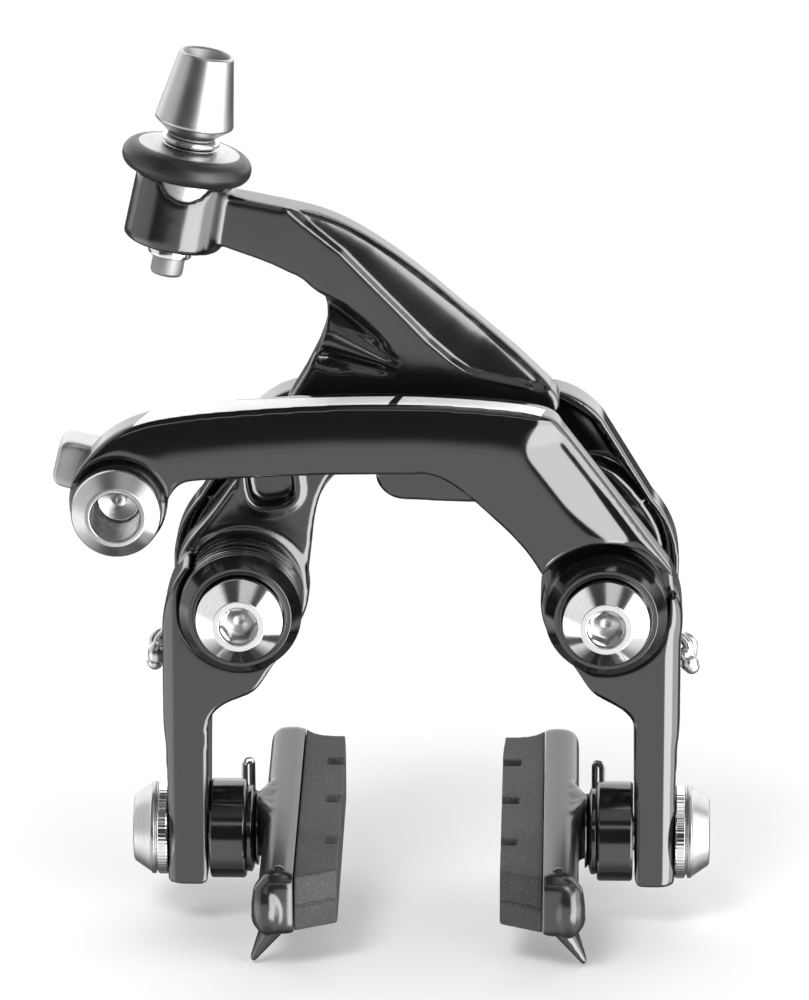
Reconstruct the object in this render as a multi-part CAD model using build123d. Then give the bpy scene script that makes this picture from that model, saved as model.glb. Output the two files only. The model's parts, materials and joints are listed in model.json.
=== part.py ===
from build123d import *
import math
import os

# Direct-mount dual-pivot rim brake caliper, millimetres.
# Origin: midway between the two mounting bolts, on the plane that meets the fork.
# +X is the viewer's right from the front, +Y runs into the fork, +Z is up.

# ---- mounting and pivots ----
PIVOT_X = 28.0                # half of the 56 mm direct-mount bolt spacing
STUD_R = 3.0                  # M6 mounting bolt
STUD_OUT = 13.0               # thread that stands out behind the mounting plane
THREAD_START = 0.3
SHANK_R = 2.85                # plain shank inside the post
POST_R = 5.0                  # steel sleeve that each arm turns on
POST_FRONT = -29.0
RUNNING = 0.05                # radial clearance of a shaft in its hole
BUSH_R = 6.5

# ---- depths (y), back to front ----
BRIDGE_FRONT = -7.4
COLLAR_FRONT = -11.7
HUB_BACK = -11.8
REAR_BACK = -10.0
REAR_FRONT = -17.2
REAR_HUB_FRONT = -17.8
FRONT_BACK = -23.0
FRONT_HUB_FRONT = -24.0
FRONT_FRONT = -31.0
LEG_BACK = -13.0
LEG_FRONT = -26.0

# ---- hubs, caps and recesses ----
HUB_R = 10.1
LEG_RECESS_R = 9.75
ARM_RECESS_R = 11.8
CAP_R = 9.45
CAP_RIM = -29.1               # depth of the cap's outer edge
HEAD_R = 6.65
HEAD_RIM = -33.0
HEAD_TIP = -35.6

# ---- cable anchor on the front arm ----
ANCHOR_X = -46.6
ANCHOR_Z = 17.0
ANCHOR_BOSS_R = 7.5
ANCHOR_HEAD_R = 6.9
ANCHOR_SHANK_R = 4.8
ANCHOR_THREAD_R = 2.5
CABLE_Y = -14.0

# ---- lobe that joins the arms through the centring screw ----
SHOULDER_BACK = -15.0
CONTACT_Y = -13.0
CONTACT_SCREW_R = 2.0
CONTACT_FACE_Z = 21.2         # underside of the rear arm where the centring screw pushes
CONTACT_GAP = 0.3
SHELF_TOP = 19.8

# ---- rear arm's blade ----
SCOOP_FLOOR_R = 33.6

# ---- return springs ----
TIP_R = 1.25
WIRE_R = 0.7
COIL_R = 7.3
COIL_BACK = -8.2
COIL_PITCH = 1.55
COIL_TURNS = 1.75
SPRING_LEG_DROP = -7.6        # height at which the wire turns outwards

# ---- barrel adjuster, measured down its own axis from the barrel's mouth ----
BARREL_TOP = (-33.2, CABLE_Y, 84.4)
BARREL_TILT = 10.8            # degrees, the top leans towards +X
CONE_LENGTH = 10.8
CONE_TOP_R = 4.2
CONE_BASE_R = 6.1
NECK_START = 12.8
NECK_R = 3.6
WHEEL_TOP = 14.5
WHEEL_R = 8.0
RING_CENTRE = 17.1
RING_R = 2.05
RING_MAJOR_R = 7.95
WHEEL_BASE = 19.3
WHEEL_BASE_R = 7.6
SKIRT_END = 21.9
SKIRT_R = 6.6
HOUSING_END = 30.2
STEM_R = 2.5
STEM_END = 35.2
CABLE_HOLE_R = 1.0
FERRULE_R = 3.05
FERRULE_DEPTH = 9.0

# ---- legs and pad mounting ----
LEG_OUT = 39.4                # outer face of the right leg
LEG_IN = 32.5
LEG_BOTTOM = -45.5
LEFT_SHIFT = 0.75             # the left leg stands this much further out
PAD_Y = -19.5
PAD_Z = -38.3
PAD_BOLT_R = 3.0
SLOT_UP = 4.0
SLOT_DOWN = 1.5
SPACER_R = 7.75
SPACER_IN = 26.95
NUT_WASHER_THICK = 1.7
SPOT_R = 8.2                  # spot face under the pad nut
SPOT_DEPTH = 0.35
PAD_PITCH = 8.0               # degrees, the front of each pad points down
PAD_FACE = 12.05              # friction face of the right pad
PAD_THICK = 6.6
PAD_LENGTH = 52.0
PAD_HEIGHT = 8.6
SHOE_HEIGHT = 10.6
SHOE_THICK = 5.2
SHOE_FACE = PAD_FACE + PAD_THICK
SHOE_OUT = SHOE_FACE + SHOE_THICK
PAD_FRONT = PAD_Y - PAD_LENGTH / 2
PAD_REAR = PAD_Y + PAD_LENGTH / 2
WEAR_SLOT_PITCH = 12.5
NOSE_R = 2.7
CLIP_R = 1.5
CLIP_WIRE_R = 0.45

os.makedirs("parts", exist_ok=True)


def save(part, name):
    """Write one sub-part to its own STEP file."""
    solids = Compound(children=list(part.solids())) if len(part.solids()) > 1 else part.solid()
    export_step(solids, f"parts/{name}.step")


def outline(*stretches):
    """Face from stretches that share end points: two points are a line, more are a spline."""
    edges = []
    for points in stretches:
        edges.append(Line(*points) if len(points) == 2 else Spline(*points))
    return make_face(edges)


def slab(face, back, front):
    """Extrude an XZ outline from depth y = back forward to y = front."""
    return extrude(Plane.XZ.offset(-back) * face, amount=back - front)


def disc(x, z, radius, back, front):
    """Round slab about a front-to-back axis."""
    return slab(Pos(x, z) * Circle(radius), back, front)


def turned(*profile):
    """Solid of revolution about local Z from a closed (radius, height) outline."""
    points = [(r, 0, h) for r, h in profile]
    return revolve(make_face(Polyline(*points, close=True)), Axis.Z)


def facing_front(x, z):
    """Plane at y = 0 whose Z axis points at the viewer, so height = -y."""
    return Plane(origin=(x, 0, z), x_dir=(1, 0, 0), z_dir=(0, -1, 0))


# Adjuster axis
tilt = math.radians(BARREL_TILT)
AXIS_UP = (math.sin(tilt), 0, math.cos(tilt))
barrel_plane = Plane(origin=BARREL_TOP, x_dir=(math.cos(tilt), 0, -math.sin(tilt)), z_dir=AXIS_UP)


def on_barrel(*profile):
    """Turned part on the adjuster axis, from (radius, distance below the mouth) pairs."""
    return barrel_plane * turned(*[(r, -s) for r, s in profile])


# ---------------------------------------------------------------- legs
def leg_outline(shift):
    """Right leg with its upper end inside the hub, moved out by shift."""
    out = LEG_OUT + shift
    inner = LEG_IN + shift
    bottom = LEG_BOTTOM
    return outline(
        [(36.6, 6.4), (39.0, 2.5), (out + 0.2, -5.0)],
        [(out + 0.2, -5.0), (out + 0.2, -18.0)],
        [(out + 0.2, -18.0), (out + 0.1, -20.6), (out - 0.2, -23.0)],
        [(out - 0.2, -23.0), (out - 0.2, bottom + 0.8)],
        [(out - 0.2, bottom + 0.8), (out - 0.4, bottom + 0.25), (out - 1.0, bottom)],
        [(out - 1.0, bottom), (inner + 1.0, bottom)],
        [(inner + 1.0, bottom), (inner + 0.5, bottom + 0.25), (inner + 0.3, bottom + 0.8)],
        [(inner + 0.3, bottom + 0.8), (inner, -20.6)],
        [(inner, -20.6), (inner - 0.9, -17.3), (inner - 3.6, -15.4), (26.2, -13.8), (24.3, -11.3),
         (22.2, -8.2)],
        [(22.2, -8.2), (19.5, -4.4), (18.5, 0.0)],
        [(18.5, 0.0), (28.0, 6.0)],
        [(28.0, 6.0), (36.6, 6.4)],
    )


def leg(shift, hub_front):
    """Leg of the right arm: front bevel, cap recess, bolt slot and nut spot face."""
    body = slab(leg_outline(shift), LEG_BACK, LEG_FRONT)
    out = LEG_OUT + shift
    bevel = Plane(origin=(out - 1.9, LEG_FRONT, 0), z_dir=(0.62, -1.0, 0))
    body -= bevel * Pos(0, 0, 5) * Box(200, 200, 10)
    body -= disc(PIVOT_X, 0, LEG_RECESS_R, hub_front, LEG_FRONT - 1)
    slot_z = PAD_Z + (SLOT_UP - SLOT_DOWN) / 2
    travel = SLOT_UP + SLOT_DOWN
    side = Plane(origin=(out - SPOT_DEPTH, PAD_Y, slot_z), x_dir=(0, 0, 1), z_dir=(1, 0, 0))
    body -= extrude(side * SlotCenterToCenter(travel, 2 * PAD_BOLT_R + 0.2), amount=20, both=True)
    body -= extrude(side * SlotCenterToCenter(travel, 2 * SPOT_R), amount=4)
    return body


# ---------------------------------------------------------------- front arm
def front_arm():
    """C-shaped arm: cable anchor at the left, beam over the middle, leg at the right."""
    left = ANCHOR_X - ANCHOR_BOSS_R
    beam = outline(
        [(left, ANCHOR_Z), (-53.2, 21.6), (-50.5, 25.5), (-46.0, 29.2), (-38.8, 31.4), (-27.8, 32.7),
         (-14.6, 33.6), (0.0, 33.8), (11.6, 33.1), (17.6, 32.2), (19.8, 31.3), (21.2, 29.7)],
        [(21.2, 29.7), (38.2, 7.4)],
        [(38.2, 7.4), (38.6, 3.0)],
        [(38.6, 3.0), (28.0, -4.0)],
        [(28.0, -4.0), (18.2, 4.0)],
        [(18.2, 4.0), (18.2, 6.6)],
        [(18.2, 6.6), (15.9, 10.3), (10.1, 16.4), (4.9, 20.8), (2.2, 22.3), (-1.4, 22.7)],
        [(-1.4, 22.7), (-14.6, 22.5), (-34.9, 21.4)],
        [(-34.9, 21.4), (-37.6, 20.3), (-38.9, 18.0), (-39.6, 14.6)],
        [(-39.6, 14.6), (ANCHOR_X, ANCHOR_Z - 2)],
        [(ANCHOR_X, ANCHOR_Z - 2), (left, ANCHOR_Z)],
    )
    shoulder = outline(
        [(9.0, 20.0), (19.0, 27.4)],
        [(19.0, 27.4), (36.0, 6.0)],
        [(36.0, 6.0), (28.0, -4.0)],
        [(28.0, -4.0), (18.6, 4.0)],
        [(18.6, 4.0), (15.6, 12.0), (9.0, 20.0)],
    )
    arm = disc(PIVOT_X, 0, HUB_R, HUB_BACK, FRONT_HUB_FRONT)
    arm += leg(0.0, FRONT_HUB_FRONT)
    arm += slab(shoulder, SHOULDER_BACK, FRONT_BACK - 2)
    arm += slab(beam, FRONT_BACK, FRONT_FRONT)
    arm += disc(ANCHOR_X, ANCHOR_Z, ANCHOR_BOSS_R, FRONT_BACK, FRONT_FRONT)
    arm += contact_shelf()
    arm -= disc(PIVOT_X, 0, ARM_RECESS_R, FRONT_HUB_FRONT, FRONT_FRONT - 1) & above_pivot()
    arm -= disc(PIVOT_X, 0, LEG_RECESS_R, FRONT_HUB_FRONT, FRONT_FRONT - 1)
    arm -= disc(ANCHOR_X, ANCHOR_Z, ANCHOR_HEAD_R + 0.8, -29.5, FRONT_FRONT - 1)
    arm -= disc(PIVOT_X, 0, BUSH_R, 0, FRONT_FRONT)
    arm -= disc(ANCHOR_X, ANCHOR_Z, ANCHOR_SHANK_R, FRONT_BACK - 0.9, FRONT_FRONT)
    arm -= disc(ANCHOR_X, ANCHOR_Z, ANCHOR_THREAD_R, 0, FRONT_FRONT)
    arm -= Pos(0, CONTACT_Y, 0) * Cylinder(CONTACT_SCREW_R, 44)
    return arm


def above_pivot():
    """Half space above the line where the arm's face meets the leg."""
    return Pos(PIVOT_X, 0, 22.0) * Box(60, 120, 40)


def contact_shelf():
    """Lobe below the beam that reaches back under the rear arm and holds the centring screw."""
    profile = outline(
        [(-7.4, 24.0), (-7.4, 20.0)],
        [(-7.4, 20.0), (-5.6, 17.6), (-3.4, 16.8)],
        [(-3.4, 16.8), (8.2, 16.4)],
        [(8.2, 16.4), (12.0, 17.4)],
        [(12.0, 17.4), (12.0, 24.0)],
        [(12.0, 24.0), (-7.4, 24.0)],
    )
    shelf = slab(profile, REAR_BACK, -24.6)
    room_front = REAR_FRONT - 1.2
    room = Pos(0, room_front / 2, SHELF_TOP + 5) * Box(60, -room_front, 10.0)
    return shelf - room


# ---------------------------------------------------------------- rear arm
def rear_arm():
    """Y-shaped arm: cable stop at the top left, lever over the middle, leg at the left."""
    plate = outline(
        [(-38.3, 1.0), (-38.0, 5.4), (-34.2, 10.6), (-30.7, 15.4), (-21.6, 29.2)],
        [(-21.6, 29.2), (-18.4, 34.8), (-16.1, 39.4), (-15.0, 43.4)],
        [(-15.0, 43.4), (-16.0, 46.9), (-20.1, 50.3), (-27.2, 53.4), (-34.0, 56.0)],
        [(-34.0, 56.0), (-37.2, 61.8)],
        [(-37.2, 61.8), (-31.5, 62.7), (-23.9, 61.5), (-15.7, 59.6), (-7.5, 55.4), (4.9, 45.7),
         (13.7, 38.0)],
        [(13.7, 38.0), (19.0, 32.9), (20.7, 30.6), (19.6, 28.4)],
        [(19.6, 28.4), (12.0, 24.4), (6.0, CONTACT_FACE_Z)],
        [(6.0, CONTACT_FACE_Z), (-8.0, CONTACT_FACE_Z)],
        [(-8.0, CONTACT_FACE_Z), (-12.5, 20.6), (-15.2, 17.4), (-17.4, 9.0), (-18.2, 2.0)],
        [(-18.2, 2.0), (-28.0, -6.0)],
        [(-28.0, -6.0), (-38.3, 1.0)],
    )
    arm = mirror(leg(LEFT_SHIFT, REAR_HUB_FRONT), Plane.YZ)
    arm += disc(-PIVOT_X, 0, HUB_R, HUB_BACK, REAR_HUB_FRONT)
    arm += slab(plate, REAR_BACK, REAR_FRONT)
    arm += on_barrel((0, WHEEL_BASE + 0.1), (7.3, WHEEL_BASE + 0.1), (7.6, HOUSING_END - 0.5),
                     (7.1, HOUSING_END), (0, HOUSING_END))
    arm -= disc(-PIVOT_X, 0, HUB_R + 0.6, 0, HUB_BACK)
    arm -= blade_scoop()
    arm -= web_pockets()
    arm += web_cone()
    arm += lip(1.4) - lip(0.0)
    arm -= slab(lip_outline(0.0), -14.6, REAR_FRONT - 2)
    well_r = SKIRT_R + 0.06
    well_end = SKIRT_END + 0.1
    guide_r = STEM_R + 0.9
    arm -= on_barrel((0, WHEEL_BASE - 1), (well_r, WHEEL_BASE - 1), (well_r, well_end), (guide_r, well_end),
                     (guide_r, HOUSING_END + 1), (0, HOUSING_END + 1))
    arm -= barrel_plane * Pos(0.6, -7.0, 2.1 - WHEEL_BASE) * Rot(90, 0, 0) * Cylinder(4.5, 6)
    arm -= disc(-PIVOT_X, 0, BUSH_R, 0, FRONT_FRONT)
    return arm


def blade_scoop():
    """Lens-shaped hollow in the blade's face; its floor is crowned and sinks towards the upper edge."""
    lens = outline(
        [(-21.6, 61.4), (-12.9, 54.0), (-3.9, 44.7), (4.0, 36.8)],
        [(4.0, 36.8), (8.6, 34.4), (17.2, 32.8)],
        [(17.2, 32.8), (12.6, 37.4), (7.4, 42.4), (-4.4, 52.1), (-12.0, 57.3), (-21.6, 61.4)],
    )
    cutter = slab(lens, REAR_BACK - 2.0, REAR_FRONT - 2)
    floor_axis = Plane(origin=(-5.8, 16.8, 42.7), z_dir=(0.75, 0, -0.66))
    return cutter - floor_axis * Cylinder(SCOOP_FLOOR_R, 160)


def web_pockets():
    """Hollows either side of the cone where the web meets the blade."""
    upper = outline(
        [(-20.4, 50.6), (-12.4, 45.7), (-7.4, 41.2), (-5.2, 37.9)],
        [(-5.2, 37.9), (-10.4, 40.6), (-16.0, 43.6)],
        [(-16.0, 43.6), (-24.0, 46.0)],
        [(-24.0, 46.0), (-20.4, 50.6)],
    )
    lower = outline(
        [(-19.0, 44.6), (-10.0, 40.6), (-4.2, 36.2), (-7.0, 35.3), (-16.4, 35.5)],
        [(-16.4, 35.5), (-21.0, 35.5)],
        [(-21.0, 35.5), (-19.0, 44.6)],
    )
    cut = slab(upper, REAR_FRONT + 4.4, REAR_FRONT - 2)
    return cut + slab(lower, REAR_FRONT + 3.0, REAR_FRONT - 2)


def web_cone():
    """Tapered round rib that runs from the web's edge into the blade."""
    direction = (10.4, 0, -4.6)
    start = Plane(origin=(-15.6, REAR_FRONT + 3.4, 39.9), z_dir=direction)
    cone = start * Pos(0, 0, 5.6) * Cone(3.4, 1.4, 11.2)
    return cone & slab(Pos(-8, 38) * Rectangle(15.2, 14), REAR_BACK, REAR_FRONT - 2)


def lip_outline(wall):
    """Rounded window in the web above the hub, grown by the lip's wall."""
    return Pos(-24.0, 18.5) * Rot(0, 0, 8) * RectangleRounded(7.0 + 2 * wall, 9.4 + 2 * wall, 2.4 + wall)


def lip(wall):
    """Slab of the raised lip around the window."""
    return slab(lip_outline(wall), REAR_FRONT + 1, REAR_FRONT - 0.5)


# ---------------------------------------------------------------- bridge
def arch(inset):
    """Horseshoe that joins both posts, drawn inset from its edges."""
    right = make_face([
        Line((0, 29.8 - inset), (20.6 - inset / 2, 29.5 - inset)),
        Spline((20.6 - inset / 2, 29.5 - inset), (24.6 - inset, 27.6 - inset),
               (27.4 - inset, 24.9 - inset / 2)),
        Line((27.4 - inset, 24.9 - inset / 2), (35.4 - inset, 11.8)),
        Spline((35.4 - inset, 11.8), (38.6 - inset, 6.6), (39.4 - inset, 0.0)),
        ThreePointArc((39.4 - inset, 0.0), (36.1 - 0.7 * inset, -8.1 + 0.7 * inset), (28.0, -11.4 + inset)),
        ThreePointArc((28.0, -11.4 + inset), (21.4 + 0.7 * inset, -8.2 + 0.7 * inset), (18.6 + inset, 0.0)),
        Line((18.6 + inset, 0.0), (18.0 + inset, 5.0)),
        Spline((18.0 + inset, 5.0), (17.4 + inset, 10.0), (15.0, 14.8 + inset), (11.0, 17.8 + inset),
               (6.0, 19.2 + inset)),
        Line((6.0, 19.2 + inset), (0, 19.4 + inset)),
        Line((0, 19.4 + inset), (0, 29.8 - inset)),
    ])
    return right + mirror(right, Plane.YZ)


def post_pad():
    """Raised land around the right post, on the bridge's hollow front."""
    return outline(
        [(18.0, 15.0), (28.9, 16.8), (33.2, 12.4), (36.2, 7.4), (36.6, 0.0)],
        [(36.6, 0.0), (28.0, -11.0)],
        [(28.0, -11.0), (18.0, 0.0)],
        [(18.0, 0.0), (18.0, 15.0)],
    )


def back_bridge():
    """Arch plate behind both arms, with a hollow front inside a thin rim."""
    plate = slab(arch(0.0), 0, BRIDGE_FRONT)
    hollow = slab(arch(1.0), BRIDGE_FRONT + 3.6, BRIDGE_FRONT - 1)
    land = slab(post_pad(), 0, BRIDGE_FRONT - 2)
    hollow -= land + mirror(land, Plane.YZ)
    plate -= hollow
    for side in (-1, 1):
        plate -= disc(side * PIVOT_X, 0, POST_R, 1, BRIDGE_FRONT - 1)
    return plate


# ---------------------------------------------------------------- pivots
def pivot_post(x):
    """Steel sleeve that an arm turns on and a mounting bolt passes through."""
    tube = disc(x, 0, POST_R, 0, POST_FRONT)
    return tube - disc(x, 0, STUD_R + RUNNING, 1, POST_FRONT - 1)


def mount_bolt(x):
    """M6 bolt with a conical head, hex socket and a chamfered thread end."""
    shape = turned((0, -STUD_OUT), (STUD_R - 0.6, -STUD_OUT), (STUD_R, -STUD_OUT + 0.6),
                   (STUD_R, -THREAD_START), (SHANK_R, -THREAD_START), (SHANK_R, -POST_FRONT),
                   (5.6, -POST_FRONT), (5.6, -POST_FRONT + 1.4), (HEAD_R, -HEAD_RIM - 0.9),
                   (HEAD_R, -HEAD_RIM), (3.95, -HEAD_TIP), (0, -HEAD_TIP))
    socket = Pos(0, 0, -HEAD_TIP - 1.7) * extrude(RegularPolygon(2.7, 6), amount=3)
    drill = turned((0, -HEAD_TIP - 3.4), (2.3, -HEAD_TIP - 1.6), (0, -HEAD_TIP - 1.6))
    mouth = turned((0, -HEAD_TIP - 0.9), (2.75, -HEAD_TIP - 0.9), (2.95, -HEAD_TIP + 1), (0, -HEAD_TIP + 1))
    return facing_front(x, 0) * (shape - socket - drill - mouth)


def pivot_cap(x, back):
    """Black cap ring: bevelled front, plain skirt with two grooves."""
    ring = turned((POST_R + 0.6, -back), (CAP_R, -back), (CAP_R, -CAP_RIM), (7.9, 30.4), (7.0, 32.4),
                  (HEAD_R + 0.1, 32.4), (HEAD_R + 0.1, 32.0), (5.7, 30.5), (5.7, -POST_FRONT),
                  (POST_R + 0.6, -POST_FRONT))
    for groove in (-CAP_RIM - 1.5, -CAP_RIM - 3.2):
        if groove - 0.6 > -back:
            ring -= turned((CAP_R - 0.3, groove), (CAP_R + 1, groove),
                           (CAP_R + 1, groove + 0.5), (CAP_R - 0.3, groove + 0.5))
    return facing_front(x, 0) * ring


def collar(x):
    """Thin spacer between the bridge and the arm's hub, inside the spring coil."""
    ring = disc(x, 0, 5.9, BRIDGE_FRONT, COLLAR_FRONT)
    return ring - disc(x, 0, POST_R, 0, COLLAR_FRONT - 1)


def bush(x, front):
    """Plain bearing pressed into an arm's hub."""
    ring = disc(x, 0, BUSH_R, HUB_BACK, front)
    return ring - disc(x, 0, POST_R + RUNNING, 0, front - 1)


def return_spring(leg_out):
    """Right return spring: coil about the post, a leg behind the arm and a hooked end beyond it."""
    coil_plane = Plane(origin=(PIVOT_X, COIL_BACK, 0), x_dir=(0, 0, -1), z_dir=(0, -1, 0))
    coil = coil_plane * Helix(COIL_PITCH, COIL_PITCH * COIL_TURNS, COIL_R)
    end = coil @ 1
    tail = FilletPolyline(
        end,
        (end.X, end.Y - 0.1, SPRING_LEG_DROP),
        (leg_out + 2.4, end.Y - 0.2, SPRING_LEG_DROP - 1.4),
        (leg_out + 2.1, end.Y - 1.3, SPRING_LEG_DROP - 5.9),
        radius=1.4,
    )
    section = Plane(origin=coil @ 0, z_dir=coil % 0) * Circle(WIRE_R)
    wire = sweep(section, path=Wire(coil.edges() + tail.edges()))
    tip = tail @ 1
    return wire + Pos(tip.X, tip.Y, tip.Z) * Sphere(TIP_R)


# ---------------------------------------------------------------- cable anchor
def anchor_bolt():
    """Hollow cable-fixing bolt with a conical head and a threaded tail."""
    shape = turned((0, 11.6), (ANCHOR_THREAD_R, 11.6), (ANCHOR_THREAD_R, 23.9), (ANCHOR_SHANK_R, 23.9),
                   (ANCHOR_SHANK_R, 29.5), (ANCHOR_HEAD_R, 29.5), (ANCHOR_HEAD_R, 33.0), (4.4, 35.2),
                   (0, 35.2))
    bore = turned((0, 24.6), (3.4, 25.4), (3.85, 34.4), (3.95, 36), (0, 36))
    return facing_front(ANCHOR_X, ANCHOR_Z) * (shape - bore)


def clamp_block():
    """Satin block behind the arm's end that grips the cable against it."""
    face = Pos(-50.0, 20.6) * Rot(0, 0, -13) * RectangleRounded(13.4, 7.6, 1.6)
    block = slab(face, -15.0, FRONT_BACK)
    block += disc(ANCHOR_X, ANCHOR_Z, 6.2, -15.0, FRONT_BACK)
    block = chamfer(block.faces().sort_by(Axis.Y)[-1].edges(), 0.9)
    return block - disc(ANCHOR_X, ANCHOR_Z, ANCHOR_THREAD_R, 0, FRONT_FRONT)


def anchor_nut():
    """Hex nut on the anchor bolt's tail."""
    nut = slab(Pos(ANCHOR_X, ANCHOR_Z) * RegularPolygon(4.6, 6), -12.2, -15.0)
    return nut - disc(ANCHOR_X, ANCHOR_Z, ANCHOR_THREAD_R, 0, -20)


def centring_screw():
    """Grub screw in the shelf whose domed tip pushes the rear arm."""
    top = CONTACT_FACE_Z - CONTACT_GAP
    body = turned((0, 14.6), (1.6, 14.6), (CONTACT_SCREW_R, 15.0), (CONTACT_SCREW_R, top - 1.0),
                  (1.2, top - 0.2), (0, top))
    socket = Pos(0, 0, 14.0) * extrude(RegularPolygon(1.15, 6), amount=2.4)
    return Pos(0, CONTACT_Y, 0) * (body - socket)


# ---------------------------------------------------------------- adjuster
def barrel():
    """Cone that seats the cable housing, with its threaded stem through the arm."""
    shape = on_barrel((0, 0), (CONE_TOP_R - 0.25, 0), (CONE_TOP_R, 0.25), (CONE_BASE_R, CONE_LENGTH),
                      (NECK_R, NECK_START), (NECK_R, WHEEL_TOP - 0.1), (STEM_R, WHEEL_TOP - 0.1),
                      (STEM_R, STEM_END - 0.4), (STEM_R - 0.3, STEM_END), (0, STEM_END))
    seat = on_barrel((0, -1), (3.75, -1), (3.45, 0.3), (FERRULE_R, 1.6), (FERRULE_R, FERRULE_DEPTH),
                     (CABLE_HOLE_R, FERRULE_DEPTH + 1.2), (CABLE_HOLE_R, STEM_END + 1), (0, STEM_END + 1))
    return shape - seat


def adjuster_wheel():
    """Thin spool that carries the grip ring and turns on the arm as a nut."""
    spool = on_barrel((STEM_R + RUNNING, WHEEL_TOP), (WHEEL_R - 0.2, WHEEL_TOP + 0.5),
                      (WHEEL_R, WHEEL_TOP + 0.9), (WHEEL_R - 0.4, WHEEL_TOP + 1.3),
                      (RING_MAJOR_R - RING_R, RING_CENTRE - 1.0),
                      (RING_MAJOR_R - RING_R, RING_CENTRE + 1.0), (WHEEL_BASE_R, WHEEL_BASE - 0.5),
                      (WHEEL_BASE_R, WHEEL_BASE), (SKIRT_R, WHEEL_BASE), (SKIRT_R, SKIRT_END),
                      (STEM_R + RUNNING, SKIRT_END))
    return spool - grip_ring()


def grip_ring():
    """Rubber ring that the fingers turn."""
    return barrel_plane * Pos(0, 0, -RING_CENTRE) * Torus(RING_MAJOR_R, RING_R)


def stem_guide():
    """Bush at the bottom of the housing that guides the stem."""
    inner = STEM_R + RUNNING
    outer = STEM_R + 0.9
    return on_barrel((inner, SKIRT_END + 0.3), (outer, SKIRT_END + 0.3), (outer, HOUSING_END),
                     (outer - 0.35, HOUSING_END + 1.0), (inner, HOUSING_END + 1.0))


def detent_clip():
    """Split wire ring around the barrel's neck."""
    ring = barrel_plane * Pos(0, 0, -WHEEL_TOP + 0.7) * Torus(NECK_R + 0.45, 0.45)
    gap = barrel_plane * Pos(0, 5, -WHEEL_TOP + 0.7) * Box(3.0, 6, 3)
    return ring - gap


# ---------------------------------------------------------------- pads
def along_x(x):
    """Plane on the right pad bolt's axis, local Z pointing outwards."""
    return Plane(origin=(x, PAD_Y, PAD_Z), x_dir=(0, 1, 0), z_dir=(1, 0, 0))


def tilted(part):
    """Pitch a right-hand pad part about the pad bolt, front end down."""
    return part.rotate(Axis((0, PAD_Y, PAD_Z), (1, 0, 0)), PAD_PITCH)


def bar(x_in, x_out, length, height, corner):
    """Round-ended bar along Y, centred on the pad bolt."""
    return extrude(along_x(x_in) * RectangleRounded(length, height, corner), amount=x_out - x_in)


def pad_rubber():
    """Friction block with slanted ends, three wear slots and a tongue into the shoe."""
    block = bar(PAD_FACE, SHOE_FACE, PAD_LENGTH, PAD_HEIGHT, 1.2)
    block += bar(SHOE_FACE, SHOE_FACE + 1.6, PAD_LENGTH - 6, PAD_HEIGHT - 3.6, 1.0)
    half_space = Pos(0, 0, 10) * Box(40, 40, 20)
    block -= Plane(origin=(PAD_FACE, PAD_FRONT + 3.2, PAD_Z), z_dir=(-0.42, -1, 0)) * half_space
    block -= Plane(origin=(PAD_FACE, PAD_REAR - 3.6, PAD_Z), z_dir=(-0.55, 1, 0)) * half_space
    for step in (-1, 0, 1):
        slot_y = PAD_Y + 4 + step * WEAR_SLOT_PITCH
        block -= Pos(PAD_FACE, slot_y, PAD_Z + PAD_HEIGHT / 2 - 1.5) * Box(3.2, 1.5, 5)
    return tilted(block)


def shoe():
    """Cartridge holder: channel bar, conical boss, rounded nose and rear end."""
    body = bar(SHOE_FACE + 0.15, SHOE_OUT, PAD_LENGTH + 1.0, SHOE_HEIGHT, 3.2)
    body = fillet(body.faces().sort_by(Axis.X)[-1].edges(), 1.6)
    boss = along_x(SHOE_OUT - 1.5) * Pos(0, 0, 1.35) * Cone(9.4, 5.6, 2.7)
    body += boss & (Pos(SHOE_OUT, PAD_Y, PAD_Z) * Box(12, 40, SHOE_HEIGHT + 0.4))
    nose = Cylinder(NOSE_R, 7.0) + Pos(0, 0, 3.5) * Sphere(NOSE_R) + Pos(0, 0, -3.5) * Sphere(NOSE_R)
    nose = Pos(SHOE_OUT - 1.2, PAD_FRONT + 2.0, PAD_Z) * nose
    body += nose & (Pos(SHOE_FACE + 10.15, PAD_FRONT, PAD_Z) * Box(20, 30, 30))
    body -= bar(SHOE_FACE, SHOE_FACE + 1.7, PAD_LENGTH - 5.9, PAD_HEIGHT - 3.5, 1.0)
    body -= along_x(SHOE_OUT - 1.2) * Cylinder(PAD_BOLT_R, 12, align=(Align.CENTER, Align.CENTER, Align.MIN))
    return tilted(body)


def guide_fin():
    """Pointed blade under the nose that leads the tyre between the pads."""
    root = (SHOE_OUT - 2.4, PAD_FRONT + 4.0, PAD_Z - SHOE_HEIGHT / 2 + 0.4)
    base = Plane(origin=root, x_dir=(0, 1, 0), z_dir=(0, 0, 1))
    low = base * RectangleRounded(3.4, 4.4, 1.2)
    tip = base.offset(-6.0) * Pos(-0.6, -3.6) * RectangleRounded(1.0, 1.0, 0.4)
    return tilted(loft([tip, low]))


def retaining_screw():
    """Ball-headed screw that holds the friction block, on top of the nose."""
    head = Pos(SHOE_FACE + 2.4, PAD_FRONT + 2.9, PAD_Z + SHOE_HEIGHT / 2 - 0.9)
    return tilted(head * (Sphere(1.3) + Pos(0, 0, -1.6) * Cylinder(0.9, 3.0)))


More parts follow.
